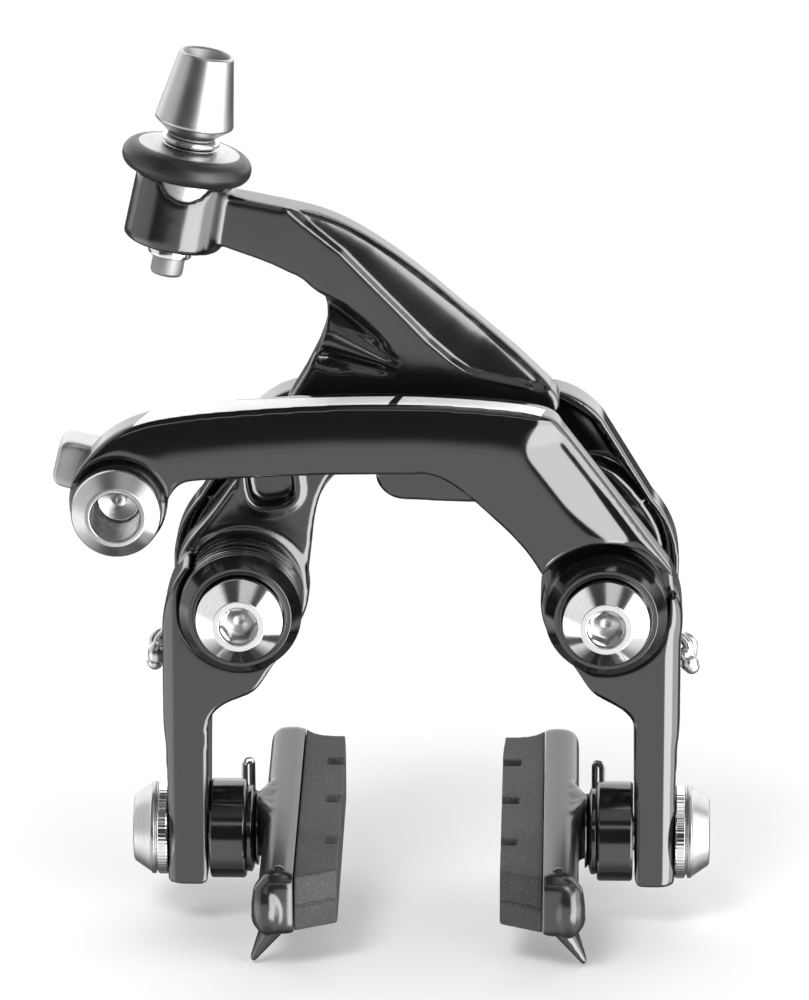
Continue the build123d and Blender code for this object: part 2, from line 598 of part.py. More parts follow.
def clip():
    """Wire eye that stands out beside the shoe and keeps its insert from sliding back."""
    eye_x = SHOE_OUT + 2.6
    level = Pos(0, PAD_Y + 10.5, PAD_Z + SHOE_HEIGHT / 2 - 0.6)
    ring = level * Pos(eye_x, 0, 0) * Rot(90, 0, 0) * Torus(CLIP_R, CLIP_WIRE_R)
    stub_in = SHOE_OUT - 1.6
    stub_out = eye_x - CLIP_R
    stub = level * Pos((stub_in + stub_out) / 2, 0, 0) * Rot(0, 90, 0)
    stub *= Cylinder(CLIP_WIRE_R, stub_out - stub_in)
    return tilted(ring + stub)


def pad_bolt():
    """Threaded stud from the shoe out through spacer, leg, washer and nut."""
    start = SHOE_OUT - 1.2
    end = LEG_OUT + 4.0
    return along_x(start) * Pos(0, 0, (end - start) / 2) * Cylinder(PAD_BOLT_R, end - start)


def pad_washers():
    """Convex washer against the shoe and the concave cup that it tilts in."""
    seat = SHOE_OUT + 1.2
    hole = PAD_BOLT_R + 0.1
    convex = turned((hole, seat), (5.8, seat), (5.4, seat + 0.5), (hole, seat + 1.4))
    cup = turned((hole, SPACER_IN), (6.6, SPACER_IN), (6.8, seat + 0.9), (5.6, seat + 0.55),
                 (hole, seat + 1.5))
    return along_x(0) * convex, along_x(0) * cup


def spacer():
    """Cylinder between the washers and the leg."""
    hole = PAD_BOLT_R + 0.1
    return along_x(0) * turned((hole, SPACER_IN), (SPACER_R - 0.4, SPACER_IN), (SPACER_R, SPACER_IN + 0.4),
                               (SPACER_R, LEG_IN - 0.3), (SPACER_R - 0.4, LEG_IN), (hole, LEG_IN))


def nut_washer():
    """Knurled washer under the pad nut."""
    seat = LEG_OUT - SPOT_DEPTH
    hole = PAD_BOLT_R + 0.1
    top = seat + NUT_WASHER_THICK
    return along_x(0) * turned((hole, seat), (7.25, seat), (7.25, top), (hole, top))


def pad_nut():
    """Conical cap nut with a hex socket."""
    seat = LEG_OUT - SPOT_DEPTH + NUT_WASHER_THICK
    hole = PAD_BOLT_R + RUNNING
    shape = turned((0, seat), (7.2, seat), (7.2, seat + 0.9), (5.2, seat + 3.7), (0, seat + 3.7))
    shape -= turned((0, seat - 1), (hole, seat - 1), (hole, seat + 2.8), (0, seat + 2.8))
    shape -= Pos(0, 0, seat + 1.5) * extrude(RegularPolygon(2.5, 6), amount=4)
    return along_x(0) * shape


def save_pair(part, name, side):
    """Save a right-hand pad part for one side; the left one is mirrored and stands further out."""
    if side == "left":
        part = Pos(-LEFT_SHIFT, 0, 0) * mirror(part, Plane.YZ)
    save(part, f"{side}_{name}")


save(front_arm(), "front_arm")
save(rear_arm(), "rear_arm")
save(back_bridge(), "back_bridge")
save(anchor_bolt(), "anchor_bolt")
save(clamp_block(), "clamp_block")
save(anchor_nut(), "anchor_nut")
save(centring_screw(), "centring_screw")
save(barrel(), "barrel")
save(adjuster_wheel(), "adjuster_wheel")
save(grip_ring(), "grip_ring")
save(stem_guide(), "stem_guide")
save(detent_clip(), "detent_clip")

for side, x, hub_front in (("left", -PIVOT_X, REAR_HUB_FRONT), ("right", PIVOT_X, FRONT_HUB_FRONT)):
    save(pivot_post(x), f"{side}_post")
    save(mount_bolt(x), f"{side}_mount_bolt")
    save(pivot_cap(x, hub_front - 0.1), f"{side}_cap")
    save(collar(x), f"{side}_collar")
    save(bush(x, hub_front), f"{side}_bush")
    if side == "left":
        save(mirror(return_spring(LEG_OUT + LEFT_SHIFT), Plane.YZ), "left_spring")
    else:
        save(return_spring(LEG_OUT), "right_spring")
    convex, cup = pad_washers()
    save_pair(pad_rubber() - retaining_screw(), "pad", side)
    save_pair(shoe() - guide_fin() - retaining_screw() - clip(), "shoe", side)
    save_pair(guide_fin(), "guide_fin", side)
    save_pair(retaining_screw(), "pad_screw", side)
    save_pair(clip(), "clip", side)
    save_pair(pad_bolt(), "pad_bolt", side)
    save_pair(convex, "convex_washer", side)
    save_pair(cup, "concave_washer", side)
    save_pair(spacer(), "spacer", side)
    save_pair(nut_washer(), "nut_washer", side)
    save_pair(pad_nut(), "pad_nut", side)
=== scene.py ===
import json
import math
import bpy
import bmesh
import numpy as np
from mathutils import Matrix, Vector


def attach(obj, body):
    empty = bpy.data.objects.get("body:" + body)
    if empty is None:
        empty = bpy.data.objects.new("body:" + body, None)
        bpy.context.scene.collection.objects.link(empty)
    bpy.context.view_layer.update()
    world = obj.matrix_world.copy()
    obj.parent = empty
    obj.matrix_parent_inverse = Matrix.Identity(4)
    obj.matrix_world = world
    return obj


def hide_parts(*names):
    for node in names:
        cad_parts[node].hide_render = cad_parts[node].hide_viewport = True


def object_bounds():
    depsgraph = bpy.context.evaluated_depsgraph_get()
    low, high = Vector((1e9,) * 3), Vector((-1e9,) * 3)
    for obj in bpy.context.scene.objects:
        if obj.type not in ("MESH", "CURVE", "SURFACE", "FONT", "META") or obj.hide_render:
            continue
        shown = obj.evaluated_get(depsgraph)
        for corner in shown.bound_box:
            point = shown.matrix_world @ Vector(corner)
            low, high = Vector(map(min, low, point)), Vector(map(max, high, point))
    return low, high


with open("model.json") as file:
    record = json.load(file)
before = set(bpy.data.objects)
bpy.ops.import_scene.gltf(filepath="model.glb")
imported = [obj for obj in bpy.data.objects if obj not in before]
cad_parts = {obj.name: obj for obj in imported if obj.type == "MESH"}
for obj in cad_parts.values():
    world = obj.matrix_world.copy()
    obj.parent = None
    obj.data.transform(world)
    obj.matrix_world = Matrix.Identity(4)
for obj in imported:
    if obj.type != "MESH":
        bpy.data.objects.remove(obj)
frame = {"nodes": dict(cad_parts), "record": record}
cad_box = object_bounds()
NODES = frame["nodes"]
MM = 0.001

# Places taken from the object's own layout, in millimetres.
OUTWARDS = {"left": -1.0, "right": 1.0}
PIVOT_X = 28.0
ANCHOR = (-46.6, 17.0)
PAD_Y, PAD_Z = -19.5, -38.3
PAD_PITCH = math.radians(8.0)
BARREL_TOP = Vector((-33.2, -14.0, 84.4))
BARREL_TILT = math.radians(10.8)
AXIS_UP = Vector((math.sin(BARREL_TILT), 0.0, math.cos(BARREL_TILT)))


# ------------------------------------------------------------------ camera
CAMERA_PLACE = (0.022146, -0.983568, 0.310305)
LOOKS_DOWN, FROM_THE_RIGHT = math.radians(17.0), math.radians(1.5)
LENS, SENSOR = 236.12, 36.0


def set_camera():
    """Long lens in front of the brake, looking down and from a little to the right."""
    elevation, azimuth = LOOKS_DOWN, FROM_THE_RIGHT
    back = Vector((math.sin(azimuth) * math.cos(elevation), -math.cos(azimuth) * math.cos(elevation),
                   math.sin(elevation)))
    right = Vector((math.cos(azimuth), math.sin(azimuth), 0.0))
    up = back.cross(right)
    data = bpy.data.cameras.new("camera")
    data.lens = LENS
    data.sensor_width = SENSOR
    data.clip_end = 100.0
    camera = bpy.data.objects.new("camera", data)
    bpy.context.scene.collection.objects.link(camera)
    turn = Matrix((right, up, back)).transposed().to_4x4()
    camera.matrix_world = Matrix.Translation(CAMERA_PLACE) @ turn
    bpy.context.scene.camera = camera


set_camera()
bpy.context.scene.view_settings.view_transform = "Standard"
bpy.context.scene.view_settings.look = "None"


# ------------------------------------------------------------------ node helpers
class Nodes:
    """Short way to write shader nodes: each call adds one node and returns its output."""

    def __init__(self, tree):
        self.tree = tree
        tree.nodes.clear()

    def new(self, kind, inputs=None, **settings):
        node = self.tree.nodes.new(kind)
        for key, value in settings.items():
            setattr(node, key, value)
        for key, value in (inputs or {}).items():
            if isinstance(value, bpy.types.NodeSocket):
                self.tree.links.new(value, node.inputs[key])
            else:
                node.inputs[key].default_value = value
        return node

    def math(self, operation, a, b=0.0):
        return self.new("ShaderNodeMath", {0: a, 1: b}, operation=operation).outputs[0]

    def tone(self, level):
        """Grey colour of a level that a node gives."""
        return self.new("ShaderNodeCombineColor", {0: level, 1: level, 2: level}).outputs[0]

    def ramp(self, value, low, high, out_low=0.0, out_high=1.0):
        node = self.new("ShaderNodeMapRange", {"Value": value, "From Min": low, "From Max": high,
                                               "To Min": out_low, "To Max": out_high},
                        interpolation_type="SMOOTHSTEP")
        return node.outputs["Result"]

    def mix(self, factor, a, b):
        node = self.new("ShaderNodeMix", data_type="RGBA")
        for socket, value in ((node.inputs[0], factor), (node.inputs[6], a), (node.inputs[7], b)):
            if isinstance(value, bpy.types.NodeSocket):
                self.tree.links.new(value, socket)
            else:
                socket.default_value = value
        return node.outputs[2]

    def noise(self, vector, scale, detail=4.0, roughness=0.55):
        node = self.new("ShaderNodeTexNoise", {"Vector": vector, "Scale": scale, "Detail": detail,
                                               "Roughness": roughness})
        return node.outputs["Fac"]


def grey(value):
    return (value, value, value, 1.0)


# ------------------------------------------------------------------ studio
def window(n, value, low, high, edge):
    """1 between low and high, with soft edges."""
    rise = n.ramp(value, low - edge, low + edge)
    fall = n.ramp(value, high - edge, high + edge, 1.0, 0.0)
    return n.math("MULTIPLY", rise, fall)


def studio_world():
    """White table below, dark room in front, soft boxes above, behind and to both sides."""
    world = bpy.data.worlds.new("studio")
    bpy.context.scene.world = world
    world.use_nodes = True
    n = Nodes(world.node_tree)
    direction = n.new("ShaderNodeTexCoord").outputs["Generated"]
    split = n.new("ShaderNodeSeparateXYZ", {0: direction}).outputs
    degrees = 180.0 / math.pi
    azimuth = n.math("MULTIPLY", n.math("ARCTAN2", split[0], n.math("MULTIPLY", split[1], -1.0)), degrees)
    elevation = n.math("MULTIPLY", n.math("ARCSINE", split[2]), degrees)
    side = n.math("ABSOLUTE", azimuth)
    boxes = [
        # azimuth from, to, elevation from, to, soft edge, strength
        (azimuth, 19.0, 62.0, -45.0, 26.0, 2.0, 6.6),     # large soft box, right of the camera
        (azimuth, 62.0, 98.0, -34.0, 36.0, 3.0, 2.4),     # its dimmer outer wing
        (azimuth, -112.0, -58.0, -38.0, 52.0, 7.0, 0.9),  # wide reflector at the left
        (azimuth, -4.0, 60.0, 44.0, 78.0, 3.0, 0.6),      # overhead bank
        (azimuth, 2.0, 178.0, 77.0, 95.0, 3.0, 1.4),      # lamp straight above, to the right
        (azimuth, -40.0, 58.0, 25.5, 32.0, 1.2, 1.3),     # narrow strip high in front
        (side, 114.0, 181.0, -5.0, 60.0, 3.0, 1.7),       # bright wall behind
    ]
    below = n.ramp(elevation, -13.0, -6.0, 1.0, 0.0)
    table = n.math("MULTIPLY", below, n.ramp(elevation, -80.0, -50.0, 0.3, 1.0))
    near_side = n.ramp(side, 98.0, 128.0, 1.0, 0.12)
    total = n.math("ADD", n.math("MULTIPLY", table, near_side), 0.05)
    for turn, left, right, low, high, edge, strength in boxes:
        shape = n.math("MULTIPLY", window(n, turn, left, right, edge),
                       window(n, elevation, low, high, edge))
        total = n.math("ADD", total, n.math("MULTIPLY", shape, strength))
    background = n.new("ShaderNodeBackground", {"Color": grey(1.0), "Strength": total})
    out = n.new("ShaderNodeOutputWorld")
    n.tree.links.new(background.outputs[0], out.inputs["Surface"])


def area_light(name, place, target, size, power):
    data = bpy.data.lights.new(name, "AREA")
    data.shape = "DISK"
    data.size = size
    data.energy = power
    light = bpy.data.objects.new(name, data)
    bpy.context.scene.collection.objects.link(light)
    light.location = place
    light.rotation_euler = (Vector(target) - Vector(place)).to_track_quat("-Z", "Y").to_euler()
    light.visible_camera = False
    light.visible_glossy = False
    return light


def floor():
    """Plain pale floor under the lowest point of the brake."""
    low = cad_box[0][2]
    bpy.ops.mesh.primitive_plane_add(size=14.0, location=(0.0, 0.0, low))
    plane = bpy.context.object
    plane.name = "floor"
    material = bpy.data.materials.new("floor_paint")
    material.use_nodes = True
    n = Nodes(material.node_tree)
    place = n.new("ShaderNodeTexCoord").outputs["Object"]
    tone = n.ramp(n.noise(place, 3.0, 3.0), 0.3, 0.7, 0.90, 0.93)
    colour = n.tone(tone)
    shader = n.new("ShaderNodeBsdfPrincipled", {"Base Color": colour, "Roughness": 0.9,
                                                "Specular IOR Level": 0.1})
    out = n.new("ShaderNodeOutputMaterial")
    n.tree.links.new(shader.outputs[0], out.inputs["Surface"])
    plane.data.materials.append(material)
    plane.visible_glossy = False


studio_world()
floor()
area_light("key", place=(-0.5, -0.9, 1.3), target=(0.0, 0.0, 0.02), size=0.7, power=10.8)


# ------------------------------------------------------------------ materials
def make_material(name, build):
    material = bpy.data.materials.new(name)
    material.use_nodes = True
    n = Nodes(material.node_tree)
    place = n.new("ShaderNodeTexCoord").outputs["Object"]
    shader = build(n, place)
    out = n.new("ShaderNodeOutputMaterial")
    n.tree.links.new(shader, out.inputs["Surface"])
    return material


def bump(n, height, strength, distance=0.0001):
    node = n.new("ShaderNodeBump", {"Height": height, "Strength": strength, "Distance": distance})
    return node.outputs["Normal"]


def lacquer_base(n, place):
    """Colour and roughness of gloss black lacquer, with dust specks and slightly duller patches."""
    cloud = n.noise(place, 60.0, 4.0)
    specks = n.ramp(n.noise(place, 2600.0, 2.0), 0.74, 0.80)
    colour = n.mix(n.math("MULTIPLY", specks, 0.15), grey(0.005), grey(0.05))
    return colour, n.ramp(cloud, 0.3, 0.7, 0.07, 0.12)


def lacquer_shader(n, place, colour, rough):
    peel = n.noise(place, 900.0, 2.0)
    return n.new("ShaderNodeBsdfPrincipled", {
        "Base Color": colour, "Roughness": rough, "IOR": 1.85,
        "Normal": bump(n, peel, 0.05, 0.00002)}).outputs[0]


def lacquer(n, place):
    """Gloss black lacquer with a faint orange peel."""
    return lacquer_shader(n, place, *lacquer_base(n, place))


# The stripe lies on the arm's top face, in mm: front edge, depth at the right and at the left, lowest Z.
STRIPE_FRONT, STRIPE_DEPTH, STRIPE_DEPTH_LEFT, STRIPE_LOW = -29.6, 3.7, 6.4, 26.0
# Its two parts: left end, right end, and how far each end leans to the right per mm of depth.
STRIPE_PARTS = ((-44.1, -5.3, 0.42, 0.25), (-3.95, 17.9, 0.22, 0.17))


def striped_lacquer(n, place):
    """Gloss black lacquer with a plain white two-part stripe printed along the arm's top face."""
    colour, rough = lacquer_base(n, place)
    split = n.new("ShaderNodeSeparateXYZ", {0: place}).outputs
    x, y, z = (n.math("MULTIPLY", s, 1000.0) for s in (split[0], split[1], split[2]))
    depth = n.math("SUBTRACT", y, STRIPE_FRONT)
    shapes = 0.0
    for left, right, left_lean, right_lean in STRIPE_PARTS:
        from_left = n.math("SUBTRACT", x, n.math("ADD", n.math("MULTIPLY", depth, left_lean), left))
        from_right = n.math("SUBTRACT", n.math("ADD", n.math("MULTIPLY", depth, right_lean), right), x)
        inside = n.math("MULTIPLY", n.ramp(from_left, -0.04, 0.04), n.ramp(from_right, -0.04, 0.04))
        shapes = n.math("ADD", shapes, inside)
    far_edge = n.math("SUBTRACT", n.ramp(x, -42.0, -10.0, STRIPE_DEPTH_LEFT, STRIPE_DEPTH), depth)
    band = n.math("MULTIPLY", n.ramp(depth, -0.04, 0.04), n.ramp(far_edge, -0.04, 0.04))
    mask = n.math("MULTIPLY", n.math("MULTIPLY", shapes, band), n.ramp(z, STRIPE_LOW, STRIPE_LOW + 0.1))
    print_wear = n.ramp(n.noise(place, 220.0, 3.0), 0.3, 0.7, 0.74, 0.80)
    white = n.tone(print_wear)
    return lacquer_shader(n, place, n.mix(mask, colour, white), n.ramp(mask, 0.0, 1.0, 0.1, 0.4))


def arm_paint(n, place):
    """Black arm paint, a little softer than the gloss lacquer, with a visible fine grain."""
    colour, rough = lacquer_base(n, place)
    fine = n.noise(place, 2400.0, 3.0)
    return n.new("ShaderNodeBsdfPrincipled", {
        "Base Color": colour, "Roughness": n.math("ADD", rough, 0.08), "IOR": 1.85,
        "Normal": bump(n, fine, 0.12, 0.00002)}).outputs[0]


def semi_gloss(n, place):
    """Black paint with a soft sheen, as on the shoes."""
    fine = n.noise(place, 1500.0, 3.0)
    cloud = n.noise(place, 70.0, 3.0)
    tone = n.ramp(cloud, 0.3, 0.7, 0.010, 0.016)
    colour = n.tone(tone)
    rough = n.ramp(cloud, 0.3, 0.7, 0.20, 0.26)
    return n.new("ShaderNodeBsdfPrincipled", {
        "Base Color": colour, "Roughness": rough, "IOR": 1.8,
        "Normal": bump(n, fine, 0.06, 0.00002)}).outputs[0]


def anodised(n, place):
    """Semi-gloss black anodising with light speckle."""
    specks = n.ramp(n.noise(place, 2200.0, 3.0), 0.66, 0.74)
    colour = n.mix(n.math("MULTIPLY", specks, 0.25), grey(0.005), grey(0.10))
    rough = n.ramp(n.noise(place, 300.0), 0.3, 0.7, 0.09, 0.15)
    return n.new("ShaderNodeBsdfPrincipled", {
        "Base Color": colour, "Roughness": rough, "IOR": 1.85,
        "Normal": bump(n, specks, 0.1, 0.00003)}).outputs[0]


def satin_metal(level, rough_low, rough_high, streak=0.15):
    """Satin or polished metal: cloudy tone, and roughness and bump from a fine grain."""
    def build(n, place):
        fine = n.noise(place, 1800.0, 3.0)
        cloud = n.noise(place, 90.0, 4.0)
        tone = n.ramp(cloud, 0.25, 0.75, level - 0.05, level + 0.03)
        colour = n.tone(tone)
        rough = n.ramp(n.math("ADD", n.math("MULTIPLY", fine, 0.5), n.math("MULTIPLY", cloud, 0.5)),
                       0.3, 0.7, rough_low, rough_high)
        return n.new("ShaderNodeBsdfPrincipled", {
            "Base Color": colour, "Metallic": 1.0, "Roughness": rough,
            "Normal": bump(n, fine, streak, 0.00002)}).outputs[0]
    return build


def turned_metal(level, rough, contrast, stretch=0.6, bore=0.0):
    """Turned metal: fine grooves round local Z stretch the highlights; inside the bore it is rougher, and
    its colour is painted darker as shade.
    """
    def build(n, place):
        split = n.new("ShaderNodeSeparateXYZ", {0: place}).outputs
        radius = n.math("SQRT", n.math("ADD", n.math("MULTIPLY", split[0], split[0]),
                                       n.math("MULTIPLY", split[1], split[1])))
        lines = n.new("ShaderNodeCombineXYZ", {0: radius, 1: split[2]}).outputs[0]
        grooves = n.noise(lines, 3600.0, 3.0, 0.6)
        cloud = n.noise(place, 160.0, 4.0)
        grit = n.noise(place, 2600.0, 3.0, 0.7)
        tone = n.math("ADD", n.ramp(cloud, 0.25, 0.75, level - 0.03, level + 0.02),
                      n.ramp(grooves, 0.3, 0.7, -contrast, contrast))
        tone = n.math("ADD", tone, n.ramp(grit, 0.35, 0.7, contrast * 0.5, -contrast))
        colour = n.tone(tone)
        uneven = n.ramp(cloud, 0.3, 0.7, rough - 0.02, rough + 0.03)
        inside = n.ramp(radius, (bore - 0.1) * MM, bore * MM, 1.0, 0.0)
        uneven = n.math("ADD", uneven, n.math("MULTIPLY", inside, 0.26))
        # Painted shade: inside the bore the colour is mixed towards dark grey.
        colour = n.mix(n.math("MULTIPLY", inside, 0.45), colour, grey(0.16))
        tangent = n.new("ShaderNodeTangent", direction_type="RADIAL", axis="Z").outputs[0]
        return n.new("ShaderNodeBsdfPrincipled", {
            "Base Color": colour, "Metallic": 1.0, "Roughness": uneven, "Anisotropic": stretch,
            "Tangent": tangent, "Normal": bump(n, grooves, 0.08, 0.00001)}).outputs[0]
    return build


def soft_rubber(n, place):
    """Smooth matte rubber with a slight bloom."""
    fine = n.noise(place, 1500.0, 3.0)
    cloud = n.noise(place, 120.0, 4.0)
    tone = n.ramp(cloud, 0.3, 0.7, 0.009, 0.014)
    colour = n.tone(tone)
    rough = n.ramp(fine, 0.3, 0.7, 0.34, 0.42)
    return n.new("ShaderNodeBsdfPrincipled", {
        "Base Color": colour, "Roughness": rough, "Normal": bump(n, fine, 0.15, 0.00004)}).outputs[0]


def friction_compound(n, place):
    """Charcoal brake rubber, grainy, with paler dust in the grain."""
    grain = n.noise(place, 3400.0, 4.0, 0.7)
    cloud = n.noise(place, 140.0, 4.0)
    dust = n.ramp(grain, 0.52, 0.72)
    tone = n.math("ADD", n.ramp(cloud, 0.3, 0.7, 0.036, 0.05), n.math("MULTIPLY", dust, 0.09))
    colour = n.tone(tone)
    return n.new("ShaderNodeBsdfPrincipled", {
        "Base Color": colour, "Roughness": 0.62, "Normal": bump(n, grain, 0.55, 0.00012)}).outputs[0]


def moulded_black(n, place):
    """Black moulded plastic or blackened steel."""
    fine = n.noise(place, 1200.0, 3.0)
    rough = n.ramp(fine, 0.3, 0.7, 0.2, 0.3)
    tone = n.ramp(n.noise(place, 80.0), 0.3, 0.7, 0.012, 0.02)
    colour = n.tone(tone)
    return n.new("ShaderNodeBsdfPrincipled", {
        "Base Color": colour, "Roughness": rough, "Normal": bump(n, fine, 0.1, 0.00003)}).outputs[0]


LACQUER = make_material("gloss_lacquer", lacquer)
ANODISED = make_material("black_anodised", anodised)
SATIN = make_material("satin_alloy", satin_metal(level=0.50, rough_low=0.34, rough_high=0.44))
SATIN_TURNED = make_material("satin_turned", turned_metal(level=0.50, rough=0.28, contrast=0.03))
# bore is the radius in mm inside which the turned metal is rougher and painted darker as shade.
SEAT_METAL = make_material("barrel_alloy", turned_metal(level=0.46, rough=0.30, contrast=0.018,
                                                        stretch=0.5, bore=3.7))
POLISHED = make_material("polished_steel", satin_metal(level=0.66, rough_low=0.14, rough_high=0.22,
                                                       streak=0.08))
# Painted shade in the hex socket, inside the bore radius.
POLISHED_TURNED = make_material("polished_turned", turned_metal(level=0.80, rough=0.13, contrast=0.03,
                                                                stretch=0.4, bore=2.95))
WIRE = make_material("bright_wire", satin_metal(level=0.58, rough_low=0.20, rough_high=0.30, streak=0.1))
RUBBER = make_material("grip_rubber", soft_rubber)
COMPOUND = make_material("friction_compound", friction_compound)
STRIPED = make_material("striped_lacquer", striped_lacquer)
BLACK = make_material("moulded_black", moulded_black)
SHOE = make_material("shoe_paint", semi_gloss)
ARM_PAINT = make_material("arm_paint", arm_paint)

SLOT_MATERIAL = {
    "arm_black": LACQUER, "cap_black": ANODISED, "polished_steel": POLISHED, "satin_alloy": SATIN,
    "spring_steel": WIRE, "black_steel": BLACK, "bearing_plastic": BLACK, "shoe_black": SHOE,
    "fin_black": LACQUER, "grip_rubber": RUBBER, "pad_rubber": COMPOUND,
}
SLOT_OF = {s["node"]: s["material_slot"] for s in frame["record"]["subparts"]}
BODY_OF = {n: b for b, members in frame["record"]["behaviour"]["bodies"].items() for n in members}


# ------------------------------------------------------------------ making pieces from the CAD shapes
def copy_of(node, name):
    """New object with a welded copy of the CAD node's mesh."""
    mesh = NODES[node].data.copy()
    piece = bpy.data.objects.new(name, mesh)
    bpy.context.scene.collection.objects.link(piece)
    piece.data.materials.clear()
    work = bmesh.new()
    work.from_mesh(mesh)
    bmesh.ops.remove_doubles(work, verts=work.verts, dist=1e-6)
    work.to_mesh(mesh)
    work.free()
    for attribute in [a.name for a in mesh.attributes if a.name.startswith("custom_normal")]:
        mesh.attributes.remove(mesh.attributes[attribute])
    return piece


def new_object(name, work):
    """Object from a bmesh, which is freed."""
    mesh = bpy.data.meshes.new(name)
    work.to_mesh(mesh)
    work.free()
    piece = bpy.data.objects.new(name, mesh)
    bpy.context.scene.collection.objects.link(piece)
    return piece


def fuse(piece, voxel):
    """Apply what modifiers there are and then a voxel remesh, with voxels in mm."""
    remesh = piece.modifiers.new("remesh", "REMESH")
    remesh.mode = "VOXEL"
    remesh.voxel_size = voxel * MM
    apply_modifiers(piece)


def apply_modifiers(piece):
    bpy.context.view_layer.update()
    graph = bpy.context.evaluated_depsgraph_get()
    mesh = bpy.data.meshes.new_from_object(piece.evaluated_get(graph))
    piece.modifiers.clear()
    piece.data = mesh


def place(piece, node, material=None):
    """The piece stands for the CAD node, on its body, with its slot's finish."""
    slot = SLOT_OF[node]
    piece.data.materials.clear()
    piece.data.materials.append(material or SLOT_MATERIAL[slot])
    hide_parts(node)
    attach(piece, BODY_OF[node])
    return piece


def soft_shading(piece, angle=30.0):
    """Smooth shading that keeps flat faces flat and leaves edges above the angle sharp."""
    piece.data.shade_smooth()
    piece.data.set_sharp_from_angle(angle=math.radians(angle))
    weighted = piece.modifiers.new("weighted", "WEIGHTED_NORMAL")
    weighted.keep_sharp = True
    apply_modifiers(piece)


def eased(profile, radius, closed):
    """Profile whose corners are eased by a short curve; rows with a form of their own stay as they are."""
    rows = []
    last = len(profile) - 1
    for index, row in enumerate(profile):
        if len(row) > 2 or (not closed and index in (0, last)):
            rows.append(row)
            continue
        here = Vector(row[:2])
        before = Vector(profile[index - 1][:2]) - here
        after = Vector(profile[(index + 1) % len(profile)][:2]) - here
        cut = min(radius, 0.4 * before.length, 0.4 * after.length)
        start, end = here + before.normalized() * cut, here + after.normalized() * cut
        for t in (0.0, 1 / 3, 2 / 3, 1.0):
            point = start * (1 - t) ** 2 + here * 2 * t * (1 - t) + end * t ** 2
            rows.append((point.x, point.y))
    return rows


def lathe(node, profile, origin, up, material, steps=96, ease=0.1, closed=False):
    """Turned piece: rings of the profile's (radius, height) in mm about up; a third value shapes a ring."""
    work = bmesh.new()
    rings = []
    for row in eased(profile, ease, closed):
        radius, height = row[0] * MM, row[1] * MM
        if radius == 0.0:
            rings.append([work.verts.new((0.0, 0.0, height))])
            continue
        form = row[2] if len(row) > 2 else None
        ring = []
        for step in range(steps):
            turn = 2 * math.pi * step / steps
            reach = radius * (form(turn) if form else 1.0)
            ring.append(work.verts.new((reach * math.cos(turn), reach * math.sin(turn), height)))
        rings.append(ring)
    pairs = list(zip(rings, rings[1:])) + ([(rings[-1], rings[0])] if closed else [])
    for lower, upper in pairs:
        for step in range(steps):
            follow = (step + 1) % steps
            corners = [lower[step % len(lower)], lower[follow % len(lower)],
                       upper[follow % len(upper)], upper[step % len(upper)]]
            corners = list(dict.fromkeys(corners))
            if len(corners) > 2:
                work.faces.new(corners)
    bmesh.ops.recalc_face_normals(work, faces=work.faces)
    piece = new_object(node + "_finish", work)
    z = Vector(up).normalized()
    x = z.orthogonal().normalized()
    turn = Matrix((x, z.cross(x), z)).transposed().to_4x4()
    piece.matrix_world = Matrix.Translation(Vector(origin) * MM) @ turn
    soft_shading(piece)
    return place(piece, node, material)


def shells(name, build, voxel, rounds):
    """Object made of overlapping closed shells, fused by a voxel remesh and smoothed."""
    work = bmesh.new()
    build(work)
    piece = new_object(name, work)
    fuse(piece, voxel)
    smooth_points(piece.data, rounds)
    piece.data.shade_smooth()
    return piece


def shell_box(work, low, high, ease=0.0):
    """Box between two corners in mm, its edges rounded by ease."""
    size = [h - l for l, h in zip(low, high)]
    middle = [(l + h) / 2 for l, h in zip(low, high)]
    matrix = Matrix.Translation(Vector(middle) * MM) @ Matrix.Diagonal([d * MM for d in size] + [1.0])
    verts = bmesh.ops.create_cube(work, size=1.0, matrix=matrix)["verts"]
    if ease:
        edges = list({edge for vert in verts for edge in vert.link_edges})
        bmesh.ops.bevel(work, geom=edges, offset=ease * MM, segments=6, profile=0.5, affect="EDGES")


def shell_ball(work, centre, radii):
    matrix = Matrix.Translation(Vector(centre) * MM) @ Matrix.Diagonal([r * MM for r in radii] + [1.0])
    bmesh.ops.create_uvsphere(work, u_segments=32, v_segments=20, radius=1.0, matrix=matrix)


def shell_cone(work, start, end, start_radius, end_radius):
    """Round bar between two points in mm, with a ball at each end."""
    start, end = Vector(start), Vector(end)
    run = end - start
    matrix = (Matrix.Translation((start + end) / 2 * MM) @ run.to_track_quat("Z", "Y").to_matrix().to_4x4())
    bmesh.ops.create_cone(work, cap_ends=True, segments=32, radius1=start_radius * MM,
                          radius2=end_radius * MM, depth=run.length * MM, matrix=matrix)
    shell_ball(work, start, [start_radius] * 3)
    shell_ball(work, end, [end_radius] * 3)


def shell_bend(work, points, radius):
    """Wire through points in mm."""
    for start, end in zip(points, points[1:]):
        shell_cone(work, start, end, radius, radius)


def prism(work, lower, upper):
    """Closed prism between two like outlines of points in mm."""
    bottom, top = ([work.verts.new(Vector(point) * MM) for point in ring] for ring in (lower, upper))
    faces = [work.faces.new(bottom[::-1]), work.faces.new(top)]
    for k in range(len(bottom)):
        follow = (k + 1) % len(bottom)
        faces.append(work.faces.new([bottom[k], bottom[follow], top[follow], top[k]]))
    bmesh.ops.recalc_face_normals(work, faces=faces)
    bmesh.ops.triangulate(work, faces=faces)


def hexagon(start):
    """Form of a hexagonal ring, with a corner at the start angle in degrees."""
    def form(turn):
        return math.cos(math.pi / 6) / math.cos((turn - math.radians(start)) % (math.pi / 3) - math.pi / 6)
    return form


def knurl(teeth, depth):
    """Form of a ring with shallow teeth."""
    return lambda turn: 1.0 - depth * (0.5 + 0.5 * math.cos(teeth * turn))


